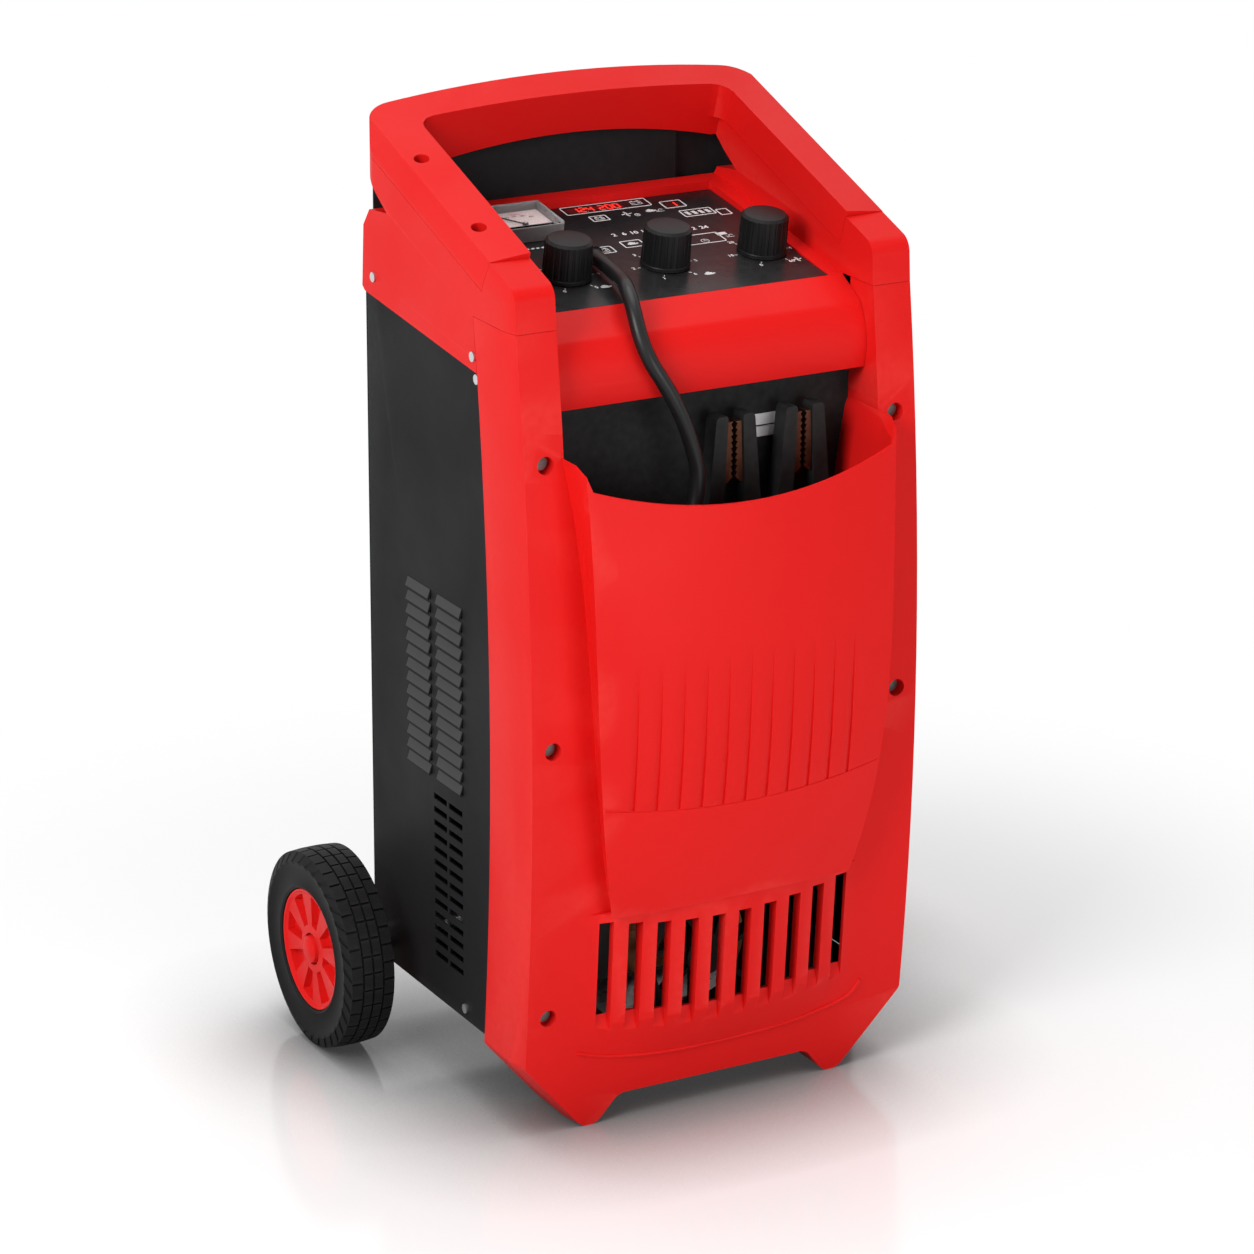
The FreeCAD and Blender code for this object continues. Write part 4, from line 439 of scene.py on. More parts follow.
def joined(pieces):
    """Several meshes made one."""
    clear_choice()
    for piece in pieces:
        piece.select_set(True)
    bpy.context.view_layer.objects.active = pieces[0]
    bpy.ops.object.join()
    return bpy.context.object


def worked(piece, tool, way):
    """Cuts a tool from a piece, or joins it on, and puts the tool away."""
    change = piece.modifiers.new("worked", "BOOLEAN")
    change.operation = way
    change.object = tool
    change.solver = "EXACT"
    shown(piece)
    bpy.ops.object.modifier_apply(modifier=change.name)
    bpy.data.objects.remove(tool, do_unlink=True)


def opened():
    """Edit mode with the whole mesh chosen."""
    bpy.ops.object.mode_set(mode="EDIT")
    bpy.ops.mesh.select_all(action="SELECT")


def faced_out(weld=0.0):
    """Turns every face outwards, after points that lie together are welded, and leaves edit mode."""
    bpy.ops.mesh.select_all(action="SELECT")
    if weld:
        bpy.ops.mesh.remove_doubles(threshold=weld)
    bpy.ops.mesh.normals_make_consistent(inside=False)
    bpy.ops.object.mode_set(mode="OBJECT")


def copy_of(name, suffix):
    """An editable copy of a frame piece with its loose triangles joined and flat faces made whole."""
    shown(NODES[name])
    bpy.ops.object.duplicate()
    piece = bpy.context.object
    piece.name = name + suffix
    del piece["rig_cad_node"]
    opened()
    bpy.ops.mesh.remove_doubles(threshold=WELD)
    bpy.ops.mesh.dissolve_limited(angle_limit=math.radians(0.4))
    bpy.ops.object.mode_set(mode="OBJECT")
    return piece


def rounded(piece, offset, test):
    """Gives the edges that pass the test a larger radius."""
    picked(piece, "edges", lambda edge: test(*[piece.data.vertices[end].co / MM for end in edge.vertices]))
    bpy.ops.mesh.bevel(offset=offset * MM, segments=CORNER_STEPS, clamp_overlap=True)
    bpy.ops.object.mode_set(mode="OBJECT")


def softened(piece, radius, spared=None):
    """Rounds the sharp edges of a moulding, apart from those in a spared place."""
    shown(piece)
    mesh = piece.data
    bpy.ops.object.mode_set(mode="EDIT")
    bpy.ops.mesh.select_mode(type="EDGE")
    bpy.ops.mesh.select_all(action="DESELECT")
    bpy.ops.mesh.edges_select_sharp(sharpness=math.radians(SHARP_ANGLE))
    bpy.ops.object.mode_set(mode="OBJECT")
    if spared:
        for edge in mesh.edges:
            middle = (mesh.vertices[edge.vertices[0]].co + mesh.vertices[edge.vertices[1]].co) / 2
            edge.select = edge.select and not spared(middle)
    bpy.ops.object.mode_set(mode="EDIT")
    bpy.ops.transform.edge_bevelweight(value=1.0)
    bpy.ops.object.mode_set(mode="OBJECT")
    soft = piece.modifiers.new("soft edges", "BEVEL")
    soft.width = radius * MM
    soft.segments = EDGE_STEPS
    soft.limit_method = "WEIGHT"
    soft.miter_outer = "MITER_ARC"
    soft.use_clamp_overlap = True
    bpy.ops.object.modifier_apply(modifier=soft.name)
    return piece


def evened(piece, angle):
    """Smooth shading that leans on the large faces."""
    shown(piece)
    opened()
    bpy.ops.mesh.remove_doubles(threshold=TINY)
    bpy.ops.mesh.dissolve_degenerate(threshold=TINY)
    bpy.ops.object.mode_set(mode="OBJECT")
    bpy.ops.object.shade_smooth_by_angle(angle=math.radians(angle))
    even = piece.modifiers.new("even shading", "WEIGHTED_NORMAL")
    even.weight = 80
    even.keep_sharp = True
    bpy.ops.object.modifier_apply(modifier=even.name)
    return piece


def moulding(piece, *nodes, body="case", slot="red_plastic"):
    """Sends a finished piece off in place of its frame nodes."""
    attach(piece, body)
    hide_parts(*nodes)


# Front shell with its pressed lines, in millimetres
GROOVES = 11
GROOVE_STEPS = 16
GROOVE_FIRST = -88.5
GROOVE_PITCH = 17.25
GROOVE_WIDE = 8.6
GROOVE_DEEP = 1.7
GROOVE_CLEAR = 0.12
GROOVE_TOP = 362.0
LINE_LOW = 247.0
LINE_RISE = 9.0
LINE_HALF = 110.0
SLOT_COUNT = 10
SLOT_PITCH = 21.4
SLOT_WIDE = 10.5
SLOT_FOOT = 84.0
SLOT_SMILE = 7.0
RECESS_TALL = 13.0
RECESS_DEEP = 6.0
SPUR_ACROSS = (126.0, 134.0)
SPUR_CORNERS = {(False, False): (-176.0, 503.1), (False, True): (-176.0, 512.0),
                (True, False): (-129.7, 503.1), (True, True): (-129.7, 512.0)}
CHIN_LIP = ((-114.0, 61.5), (-100.0, 56.5), (-86.0, 53.0), (-60.0, 49.2), (-35.0, 47.0), (9.0, 46.0),
            (53.0, 48.0), (86.0, 52.5), (108.0, 58.0), (117.0, 65.0), (120.0, 71.0))
WELLS = ((139.0, 500.0), (139.0, 297.5), (139.0, 94.8))
WELL_CLEAR = 12.0
SOFT_BACK = 40.0


def on_front(piece, across, up):
    """Where a straight line from the front meets a piece."""
    return piece.ray_cast(bench(across, -2 * CENTRE, up), Vector((0, 1, 0)))[1]


def line_height(across):
    """The pouch's pressed line hangs a little in the middle."""
    return LINE_LOW + LINE_RISE * (across / LINE_HALF) ** 2


def surface_bead(piece, places, radius):
    """A fine rod along the front of a piece."""
    rod = lay_cord("rod", [on_front(piece, across, up) for across, up in places], radius)
    shown(rod)
    bpy.ops.object.convert(target="MESH")
    return bpy.context.object


def wedge_block(low, high, corners):
    """A block between two upright planes; corners moves its four long edges, named by rear and upper."""
    bpy.ops.mesh.primitive_cube_add(size=2, location=((low + high) / 2 * MM, 0, 0))
    block = bpy.context.object
    block.scale = ((high - low) / 2 * MM, 1, 1)
    bpy.ops.object.transform_apply()
    for (back, up), (reach, height) in corners.items():
        picked(block, "vertices",
               lambda point: abs(point.co.y) > 0.9 and (point.co.y > 0) == back and (point.co.z > 0) == up)
        start = (1 if back else -1, 1 if up else -1)
        bpy.ops.transform.translate(value=(0, reach * MM - start[0], height * MM - start[1]))
        bpy.ops.object.mode_set(mode="OBJECT")
    return block


def side_block(side, across, corners):
    """A wedge block on one side, between two distances from the middle."""
    return wedge_block(*sorted(side * place for place in across), corners)


def groove_cutters(shell):
    """Wedge cutters that follow the pouch, deepest at the foot of their right edge."""
    strips = []
    for number in range(GROOVES):
        right = GROOVE_FIRST + GROOVE_PITCH * number
        middle = right - GROOVE_WIDE / 2
        foot = line_height(middle)
        bpy.ops.mesh.primitive_grid_add(x_subdivisions=6, y_subdivisions=GROOVE_STEPS, size=1,
                                        location=bench(middle, -CENTRE, (foot + GROOVE_TOP) / 2),
                                        rotation=(math.pi / 2, 0, 0))
        strip = bpy.context.object
        strip.scale = (GROOVE_WIDE * MM, (GROOVE_TOP - foot) * MM, 1)
        bpy.ops.object.transform_apply()
        depth = strip.vertex_groups.new(name="groove depth")
        for point in strip.data.vertices:
            share = max(0.0, (point.co.x / MM - right) / GROOVE_WIDE + 1)
            rise = min(1.0, (point.co.z / MM - foot) / (GROOVE_TOP - foot))
            depth.add([point.index], share ** 2.6 * (1 - rise) ** 0.7, "REPLACE")
        strips.append(strip)
    strip = joined(strips)
    wrap = strip.modifiers.new("on the pouch", "SHRINKWRAP")
    wrap.target = shell
    wrap.wrap_method = "PROJECT"
    wrap.use_project_y = True
    wrap.use_positive_direction = True
    wrap.use_negative_direction = False
    wrap.offset = GROOVE_CLEAR * MM
    sink = strip.modifiers.new("groove floor", "DISPLACE")
    sink.direction = "Y"
    sink.mid_level = 0.0
    sink.strength = (GROOVE_DEEP + GROOVE_CLEAR) * MM
    sink.vertex_group = "groove depth"
    for change in (wrap.name, sink.name):
        bpy.ops.object.modifier_apply(modifier=change)
    opened()
    bpy.ops.mesh.extrude_region_move(TRANSFORM_OT_translate={"value": (0, -3 * MM, 0)})
    faced_out()
    return strip


def recess_cutters(shell):
    """Wedges that run out of each slot's foot down the grille's chin."""
    wedges = []
    middle = (SLOT_COUNT - 1) / 2
    for number in range(SLOT_COUNT):
        away = number - middle
        across = SLOT_PITCH * away
        high = SLOT_FOOT + SLOT_SMILE * (away / middle) ** 2
        low = high - RECESS_TALL
        top = on_front(shell, across, high - 1.5).y / MM
        foot = on_front(shell, across, low).y / MM
        wedges.append(wedge_block(across - SLOT_WIDE / 2, across + SLOT_WIDE / 2, {
            (False, False): (foot - 6, low - 0.5), (False, True): (top - 6, high + 1),
            (True, False): (foot - 0.2, low - 0.5), (True, True): (top + RECESS_DEEP, high + 1)}))
    return joined(wedges)


def near_well(middle):
    """Close to a screw well or a slot, at an end of the pouch's mouth or on the hidden rear of the shell."""
    across = abs(middle.x / MM)
    up = middle.z / MM
    beside = any(math.hypot(across - x, up - z) < WELL_CLEAR for x, z in WELLS)
    in_slots = across < 108 and 60 < up < 166
    mouth_end = across > 108 and 474 < up < 514
    return beside or in_slots or mouth_end or middle.y / MM + CENTRE > SOFT_BACK


def runs_back(start, end):
    """An edge that runs from front to back."""
    return abs(start.y - end.y) > 0.85 * (start - end).length


def side_corner(start, end):
    """The lower outer corners of the shell."""
    return abs(start.x) > 155 and 55.5 < start.z < 57.5 and 55.5 < end.z < 57.5


def foot_corner(start, end):
    """The corners under the feet and beside the gap between them."""
    low = start.z < 1 and end.z < 1
    gap = 20 < start.z < 22 and 20 < end.z < 22 and abs(start.x) < 80
    return runs_back(start, end) and (low or gap)


def front_shell():
    """Shell without the mouth's thin spurs, with its grooves, pressed line, slot recesses and chin lip."""
    shell = copy_of("front_shell", "_moulded")
    for side in (-1, 1):
        worked(shell, side_block(side, SPUR_ACROSS, SPUR_CORNERS), "DIFFERENCE")
    worked(shell, recess_cutters(shell), "DIFFERENCE")
    rounded(shell, 9.0, side_corner)
    rounded(shell, 5.0, foot_corner)
    softened(shell, 1.3, spared=near_well)
    line = [(LINE_HALF * step / 8, line_height(LINE_HALF * step / 8)) for step in range(-8, 9)]
    tools = [(groove_cutters(shell), "DIFFERENCE"), (surface_bead(shell, line, 0.5), "DIFFERENCE"),
             (surface_bead(shell, CHIN_LIP, 1.5), "UNION")]
    for tool, way in tools:
        worked(shell, tool, way)
    shown(shell)
    bpy.ops.mesh.customdata_custom_splitnormals_clear()
    bpy.ops.object.shade_smooth_by_angle(angle=math.radians(13.0))
    moulding(shell, "front_shell")


# Handle, cover and side panels
REAR_CORNER = 22.0
HANDLE_HALF = 158.0
HANDLE_BACK = 114.2
HANDLE_UP = 685.0
TIP_ACROSS = (126.5, 157.0)
TIP_CORNERS = {(False, False): (84.0, 642.0), (False, True): (84.0, 662.0),
               (True, False): (107.0, 658.5), (True, True): (107.0, 671.0)}


def corner_cutter(side):
    """What is left of a block once a rod is taken out of it."""
    across = side * (HANDLE_HALF - REAR_CORNER)
    back = HANDLE_BACK - REAR_CORNER
    reach = REAR_CORNER + 2.0
    spot = Vector((across + side * reach / 2, back + reach / 2, HANDLE_UP)) * MM
    bpy.ops.mesh.primitive_cube_add(size=1, location=spot)
    block = bpy.context.object
    block.scale = (reach * MM, reach * MM, 80 * MM)
    bpy.ops.object.transform_apply()
    bpy.ops.mesh.primitive_cylinder_add(vertices=96, radius=REAR_CORNER * MM, depth=100 * MM,
                                        location=Vector((across, back, HANDLE_UP)) * MM)
    rod = bpy.context.object
    bpy.ops.object.transform_apply()
    worked(block, rod, "DIFFERENCE")
    return block


def handle_frame():
    """Rail with its rear corners turned and its edges rounded."""
    rail = copy_of("handle_frame", "_moulded")
    for side in (-1, 1):
        worked(rail, corner_cutter(side), "DIFFERENCE")
    moulding(evened(softened(rail, 2.4), 38.0), "handle_frame")


def rail_front(start, end):
    """The upper edge at the front of each rail."""
    outer = min(abs(start.x), abs(end.x)) > 120 and start.y < -116 and abs(start.y - end.y) < 0.5
    return outer and 619 < start.z < 620 and 619 < end.z < 620


def top_cover():
    """Cover with the front of its rails rolled over and the tips under the handle turned with it."""
    cover = copy_of("top_cover", "_moulded")
    for side in (-1, 1):
        worked(cover, side_block(side, TIP_ACROSS, TIP_CORNERS), "UNION")
        worked(cover, corner_cutter(side), "DIFFERENCE")
    rounded(cover, 8.0, rail_front)
    moulding(evened(softened(cover, 1.6), 38.0), "top_cover")


def louvred(word, side):
    """Side panel whose upward-facing pressed hoods are painted paler than the sheet, a painted highlight for
    the light that falls on them.
    """
    panel = copy_of("side_panel_" + word, "_louvred")
    panel.data.materials.append(HOOD_HIGHLIGHT_SHEET)
    # Faces that look up and out get the paler finish, a painted highlight on each hood.
    picked(panel, "polygons", lambda face: face.normal.z > 0.2 and side * face.normal.x > 0.7)
    bpy.ops.mesh.inset(thickness=0.9 * MM, use_individual=True)
    panel.active_material_index = 1
    bpy.ops.object.material_slot_assign()
    bpy.ops.object.mode_set(mode="OBJECT")
    moulding(panel, "side_panel_" + word, slot="black_sheet")


# Wheels; each ring is a reach along the axle and a radius
AXLE_BACK = 241.5
WHEEL_RADIUS = 75.0
WHEEL_MIDDLE = 198.0
TYRE_HALF = 20.0
TREADS = 36
COLUMNS = 8
MIDDLE_GROOVE = 0.8
SIDE_GROOVE = (7.3, 8.7)
SHOULDER = 17.0
TREAD_FOOT = 69.0
TREAD_DEEP = 1.9
LUG_WIDE = 3
LUG_SHIFT = 2.5
LUG_SLANT = 5
TYRE_RINGS = (
    (8.7, 74.7), (7.3, 74.8), (0.8, 74.9), (-0.8, 74.9), (-7.3, 74.8), (-8.7, 74.7), (-17.0, 74.0),
    (-20.0, 66.5), (-19.6, 64.5), (-18.2, 62.0), (-17.4, 56.0), (-17.4, 50.0), (-18.4, 48.0), (-17.6, 46.2),
    (17.6, 46.2), (18.4, 48.0), (17.4, 50.0), (17.4, 56.0), (18.2, 62.0), (19.6, 64.5), (20.0, 66.5),
    (17.0, 74.0),
)
LEFT_SHOULDER_RING = 7
HUB_COLUMNS = 120
HUB_RINGS = (
    (-4.6, 42.6), (-5.2, 41.4), (-5.6, 18.0), (-5.0, 12.2), (-10.4, 11.8), (-10.6, 6.3), (-22.0, 6.3),
    (-22.0, 14.0), (-15.0, 18.0), (-15.0, 41.4), (-37.0, 42.0), (-38.6, 42.6), (-38.6, 45.5), (-3.2, 45.5),
    (-3.0, 45.0), (-3.2, 44.0),
)
SPOKES = 8
RECESS_COLUMNS = 8
SPOKE_SINK = 5.0


def turned(name, columns, rings, axle, twists=None):
    """A ring carried through stations, each a reach along the axle and a radius, back to its start."""
    clear_choice()
    reach, radius = rings[-1]
    bpy.ops.mesh.primitive_circle_add(vertices=columns, radius=radius * MM, rotation=(0, math.pi / 2, 0),
                                      location=axle + Vector((reach * MM, 0, 0)))
    piece = bpy.context.object
    piece.name = name
    bpy.ops.object.transform_apply()
    opened()
    for step, (along, wide) in enumerate(rings):
        bpy.ops.mesh.extrude_region_move(TRANSFORM_OT_translate={"value": ((along - reach) * MM, 0, 0)})
        bpy.ops.transform.resize(value=(1, wide / radius, wide / radius), center_override=axle)
        if twists and step in twists:
            bpy.ops.transform.rotate(value=twists[step], orient_axis="X", center_override=axle)
        reach, radius = along, wide
    faced_out(WELD)
    return piece


def column_of(spot, axle, columns, shift=0.0):
    """Which column of a turned piece a face belongs to."""
    turn = math.atan2(spot.z - axle.z, spot.y - axle.y) / (2 * math.pi) * columns
    return math.floor(turn - shift) % columns


def off_axle(spot, axle):
    """How far a point lies from the axle."""
    return math.hypot(spot.z - axle.z, spot.y - axle.y) / MM


def shaded(piece, angle):
    """Smooth shading up to an angle between faces."""
    shown(piece)
    bpy.ops.object.shade_smooth_by_angle(angle=math.radians(angle))


def sunk(piece, axle, depth, test):
    """Presses the faces that pass the test towards the axle."""
    picked(piece, "polygons", test)
    shrink = 1 - depth / WHEEL_RADIUS
    bpy.ops.mesh.extrude_region_move(TRANSFORM_OT_translate={"value": (0, 0, 0)})
    bpy.ops.transform.resize(value=(1, shrink, shrink), center_override=axle)
    bpy.ops.object.mode_set(mode="OBJECT")


def tyre(word, side):
    """Tyre with ribs, staggered blocks, slanted shoulder lugs and a stepped wall."""
    axle = bench(side * WHEEL_MIDDLE, AXLE_BACK, WHEEL_RADIUS)
    columns = TREADS * COLUMNS
    slant = LUG_SLANT * 2 * math.pi / columns
    piece = turned("tyre_%s_treaded" % word, columns, TYRE_RINGS, axle,
                   {LEFT_SHOULDER_RING: slant, len(TYRE_RINGS) - 1: -slant})

    def groove(face):
        along = abs(face.center.x - axle.x) / MM
        if off_axle(face.center, axle) < TREAD_FOOT:
            return False
        if along > SHOULDER:
            return column_of(face.center, axle, columns, LUG_SHIFT) % COLUMNS < LUG_WIDE
        if along < MIDDLE_GROOVE or SIDE_GROOVE[0] < along < SIDE_GROOVE[1]:
            return True
        gap = 0 if along > SIDE_GROOVE[1] else COLUMNS // 2
        return column_of(face.center, axle, columns) % COLUMNS == gap

    sunk(piece, axle, TREAD_DEEP, groove)
    shaded(piece, 28.0)
    piece.data.materials.append(TYRE_RUBBER)
    moulding(piece, "tyre_" + word, body="wheel_" + word, slot="tyre_rubber")


def hub(word, side):
    """Moulded wheel centre with shallow wedge recesses between its spokes."""
    axle = bench(side * WHEEL_MIDDLE, AXLE_BACK, WHEEL_RADIUS)
    rings = [(side * (TYRE_HALF + along), radius) for along, radius in HUB_RINGS]
    piece = turned("hub_%s_moulded" % word, HUB_COLUMNS, rings, axle)

    def recess(face):
        along = side * (face.center.x - axle.x) / MM - TYRE_HALF
        column = column_of(face.center, axle, HUB_COLUMNS) % (HUB_COLUMNS // SPOKES)
        return -6 < along < -5 and 18 < off_axle(face.center, axle) < 41 and column < RECESS_COLUMNS

    picked(piece, "polygons", recess)
    bpy.ops.mesh.extrude_region_move(TRANSFORM_OT_translate={"value": (-side * 0.2 * MM, 0, 0)})
    bpy.ops.mesh.inset(thickness=1.0 * MM)
    bpy.ops.transform.translate(value=(-side * SPOKE_SINK * MM, 0, 0))
    bpy.ops.object.mode_set(mode="OBJECT")
    shaded(piece, 30.0)
    piece.data.materials.append(RED_MOULDED)
    moulding(piece, "hub_" + word, body="wheel_" + word)


# Printed marks on the panel, drawn flat in millimetres and laid on the slope afterwards
INK_THICK = 0.12
INK_WELD = 0.0005
DIAL_INK_THICK = 0.05
LETTER_SIZE = 1.2
LETTER_BOLD = 0.04
KNOB_SCALE_HALF = 150
KNOB_NUMBERS = (("0", "1", "2", "3", "4", "5"), ("1", "2", "3", "4", "5", "6"),
                ("0", "10", "20", "30", "45", "60"))
TICK_GAP = 3.2
NUMBER_GAP = 4.2


def drawn_bar(middle, half_long, half_wide, turn=0.0):
    """A printed dash."""
    bpy.ops.mesh.primitive_plane_add(size=2, location=(*middle, 0))
    bar = bpy.context.object
    bar.scale = (half_long, half_wide, 1)
    bar.rotation_euler = (0, 0, math.radians(turn))
    bpy.ops.object.transform_apply()
    return bar


def drawn_dot(middle, radius, sides=16):
    """A printed dot or a small filled shape."""
    bpy.ops.mesh.primitive_circle_add(vertices=sides, radius=radius, fill_type="NGON", location=(*middle, 0))
    dot = bpy.context.object
    bpy.ops.object.transform_apply()
    return dot


def outlined(shape, line, corner=0.0):
    """Leaves only the rim of a flat shape, with rounded corners where asked."""
    bpy.ops.object.mode_set(mode="EDIT")
    if corner:
        bpy.ops.mesh.bevel(offset=corner, segments=4, affect="VERTICES")
    bpy.ops.mesh.select_all(action="SELECT")
    bpy.ops.mesh.inset(thickness=line)
    bpy.ops.mesh.delete(type="FACE")
    bpy.ops.object.mode_set(mode="OBJECT")
    return shape


def drawn_frame(middle, half_long, half_wide, line=1.0, corner=1.6):
    """A printed outline with rounded corners."""
    return outlined(drawn_bar(middle, half_long, half_wide), line, corner)


def drawn_ring(middle, radius, line):
    """A printed circle."""
    return outlined(drawn_dot(middle, radius, 32), line)


def drawn_number(text, middle, tall):
    """A printed number."""
    bpy.ops.object.text_add(location=(*middle, 0))
    label = bpy.context.object
    label.data.body = text
    label.data.size = tall * LETTER_SIZE
    label.data.align_x = "CENTER"
    label.data.align_y = "CENTER"
    label.data.resolution_u = 2
    label.data.offset = tall * LETTER_BOLD
    bpy.ops.object.convert(target="MESH")
    bpy.ops.object.transform_apply()
    return bpy.context.object


def drawn_arc(middle, radius, line, first, last, steps):
    """A printed arc; angles in degrees, clockwise from straight up the panel."""
    start = math.radians(first)
    turn = Vector((math.sin(start), math.cos(start)))
    bpy.ops.mesh.primitive_plane_add(size=0.001, location=(*middle, 0))
    arc = bpy.context.object
    bpy.ops.object.transform_apply()
    opened()
    bpy.ops.mesh.merge(type="CENTER")
    bpy.ops.transform.translate(value=(turn.x * radius, turn.y * radius, 0))
    bpy.ops.mesh.extrude_region_move(TRANSFORM_OT_translate={"value": (turn.x * line, turn.y * line, 0)})
    bpy.ops.mesh.select_all(action="SELECT")
    bpy.ops.mesh.spin(steps=steps, angle=math.radians(last - first), center=(*middle, 0), axis=(0, 0, -1))
    bpy.ops.object.mode_set(mode="OBJECT")
    return arc


def print_on_panel(name, pieces, above, material, thick=INK_THICK):
    """Joins flat marks, gives them their thickness and lays them on the sloping panel."""
    marks = joined(pieces)
    marks.name = name
    bpy.ops.object.mode_set(mode="EDIT")
    faced_out(INK_WELD)
    wall = marks.modifiers.new("ink thickness", "SOLIDIFY")
    wall.thickness = thick
    wall.offset = 1.0
    bpy.ops.object.modifier_apply(modifier=wall.name)
    marks.scale = (MM, MM, MM)
    marks.rotation_euler = (PANEL_SLOPE, 0, 0)
    marks.location = on_panel(0, 0, above)
    bpy.ops.object.transform_apply()
    bpy.ops.object.mode_set(mode="EDIT")
    faced_out()
    marks.data.materials.clear()
    marks.data.materials.append(material)
    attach(marks, "case")


def battery_mark(across, along, wide, tall):
    """A battery seen from the side, with its two posts and a plus and a minus."""
    return [
        drawn_frame((across, along), wide, tall, line=0.5, corner=0.5),
        drawn_bar((across - wide * 0.55, along + tall + 0.7), 0.9, 0.5),
        drawn_bar((across + wide * 0.55, along + tall + 0.7), 0.9, 0.5),
        drawn_bar((across - wide * 0.5, along), 1.2, 0.3),
        drawn_bar((across + wide * 0.5, along), 1.2, 0.3),
        drawn_bar((across + wide * 0.5, along), 0.3, 1.2),
    ]


def clock_mark(across, along, radius):
    """A clock face with two hands."""
    return [
        drawn_ring((across, along), radius, line=0.5),
        drawn_bar((across, along + radius * 0.3), 0.25, radius * 0.35),
        drawn_bar((across + radius * 0.25, along), radius * 0.3, 0.25),
    ]


def wave_mark(across, along):
    """A sine wave over a flat line."""
    return [
        drawn_arc((across - 1.5, along), 1.2, 0.5, -90, 90, 8),
        drawn_arc((across + 1.4, along), 1.2, 0.5, 90, 270, 8),
        drawn_bar((across, along - 2.6), 3.2, 0.25),
    ]


def fan_mark(across, along, radius):
    """A hub with four blades."""
    marks = [drawn_dot((across, along), 0.7)]
    reach = radius * 0.6
    for turn in (0, 90, 180, 270):
        spot = (across + reach * math.cos(math.radians(turn)), along + reach * math.sin(math.radians(turn)))
        marks.append(drawn_bar(spot, radius * 0.42, 0.55, turn + 24))
    return marks


def engine_mark(across, along):
    """A block with a fan belt wheel, for starting an engine."""
    return [
        drawn_bar((across, along), 2.6, 1.7),
        drawn_bar((across - 0.4, along + 2.3), 1.3, 0.5),
        drawn_dot((across + 3.6, along - 0.2), 0.9),
        drawn_bar((across - 3.3, along - 0.2), 0.5, 1.0),
    ]


def knob_scale(across, numbers):
    """Ticks round a knob with their numbers outside."""
    marks = []
    for step, number in enumerate(numbers):
        angle = math.radians(KNOB_SCALE_HALF * (2 * step / (len(numbers) - 1) - 1))
        out = Vector((math.sin(angle), math.cos(angle)))
        tick = Vector((across, KNOB_ALONG)) + out * (KNOB_RADIUS + TICK_GAP)
        marks.append(drawn_bar(tick, 0.3, 1.1, -math.degrees(angle)))
        marks.append(drawn_number(number, tick + out * NUMBER_GAP, 4.2))
    return marks


def panel_marks():
    """All the white print of the control panel, from the displays down to the knobs."""
    marks = [drawn_frame((22.0, 147.0), 35.0, 7.4, corner=2.0)]
    marks += battery_mark(47.0, 147.0, 4.4, 2.8)
    marks += [drawn_frame((72.0, 137.0), 8.8, 6.6), drawn_frame((7.0, 128.5), 7.0, 5.0, corner=1.2)]
    marks += battery_mark(7.0, 128.0, 3.6, 2.2)
    marks += fan_mark(30.0, 130.0, 4.2)
    marks += clock_mark(37.0, 126.5, 2.2)
    marks += engine_mark(50.0, 130.5)
    marks += wave_mark(56.5, 130.0)
    marks.append(drawn_frame((82.0, 118.0), 13.0, 6.2))
    marks += [drawn_bar((place, 118.0), 1.5, 3.0, 12) for place in (74.0, 79.5, 85.0, 90.5)]
    marks.append(drawn_frame((101.0, 113.0), 4.8, 5.6))
    marks += battery_mark(-84.0, 91.0, 4.4, 3.0)
    marks += [drawn_bar((place, 92.0), 1.3, 0.9, 20) for place in (-74.0, -70.0, -66.0, -62.0, -58.0)]
    for number, place in (("2", (2.0, 97.0)), ("6", (10.0, 97.0)), ("10", (18.0, 97.0)), ("15", (27.0, 97.0)),
                          ("12", (62.0, 91.0)), ("24", (72.0, 91.0))):
        marks.append(drawn_number(number, place, 5.6))
    marks += battery_mark(-19.0, 74.0, 4.2, 2.8)
    marks.append(drawn_frame((-19.0, 74.5), 8.4, 6.0))
    marks += engine_mark(7.0, 79.0)
    marks.append(drawn_frame((7.0, 79.0), 8.4, 6.0))
    marks += clock_mark(60.0, 68.0, 3.2)
    marks.append(drawn_frame((50.0, 72.0), 26.0, 8.6, corner=2.0))
    marks += wave_mark(82.0, 72.0)
    marks.append(drawn_bar((78.0, 76.5), 4.0, 2.2))
    marks += engine_mark(-49.0, 15.5)
    marks.append(drawn_dot((-39.0, 16.0), 1.0))
    marks += engine_mark(33.0, 14.0)
    marks += fan_mark(107.0, 18.0, 3.6)
    for across, numbers in zip(KNOBS, KNOB_NUMBERS):
        marks += knob_scale(across, numbers)
    print_on_panel("panel_print", marks, 0.0, WHITE_INK)


# Display digits and the meter's scale
LIT_BARS = {"0": "abcdef", "1": "bc", "2": "abged", "4": "fgbc"}
DIGIT_TALL = 7.4
DIGIT_ABOVE = -0.19
SCALE_RADIUS = 21.2
SCALE_HALF = 42
RED_FROM = 16
NUMBERS_RADIUS = 18.2


def digit(across, along, sign):
    """Seven-segment digit; its lit bars go by the letters a to g."""
    half = DIGIT_TALL / 4
    wide = DIGIT_TALL * 0.27
    thick = DIGIT_TALL * 0.105
    flat = (wide * 0.82, thick, 0)
    upright = (half * 0.84, thick, 90)
    bars = {
        "a": ((across, along + 2 * half), *flat),
        "b": ((across + wide, along + half), *upright),
        "c": ((across + wide, along - half), *upright),
        "d": ((across, along - 2 * half), *flat),
        "e": ((across - wide, along - half), *upright),
        "f": ((across - wide, along + half), *upright),
        "g": ((across, along), *flat),
    }
    return [drawn_bar(*bars[letter]) for letter in LIT_BARS[sign]]


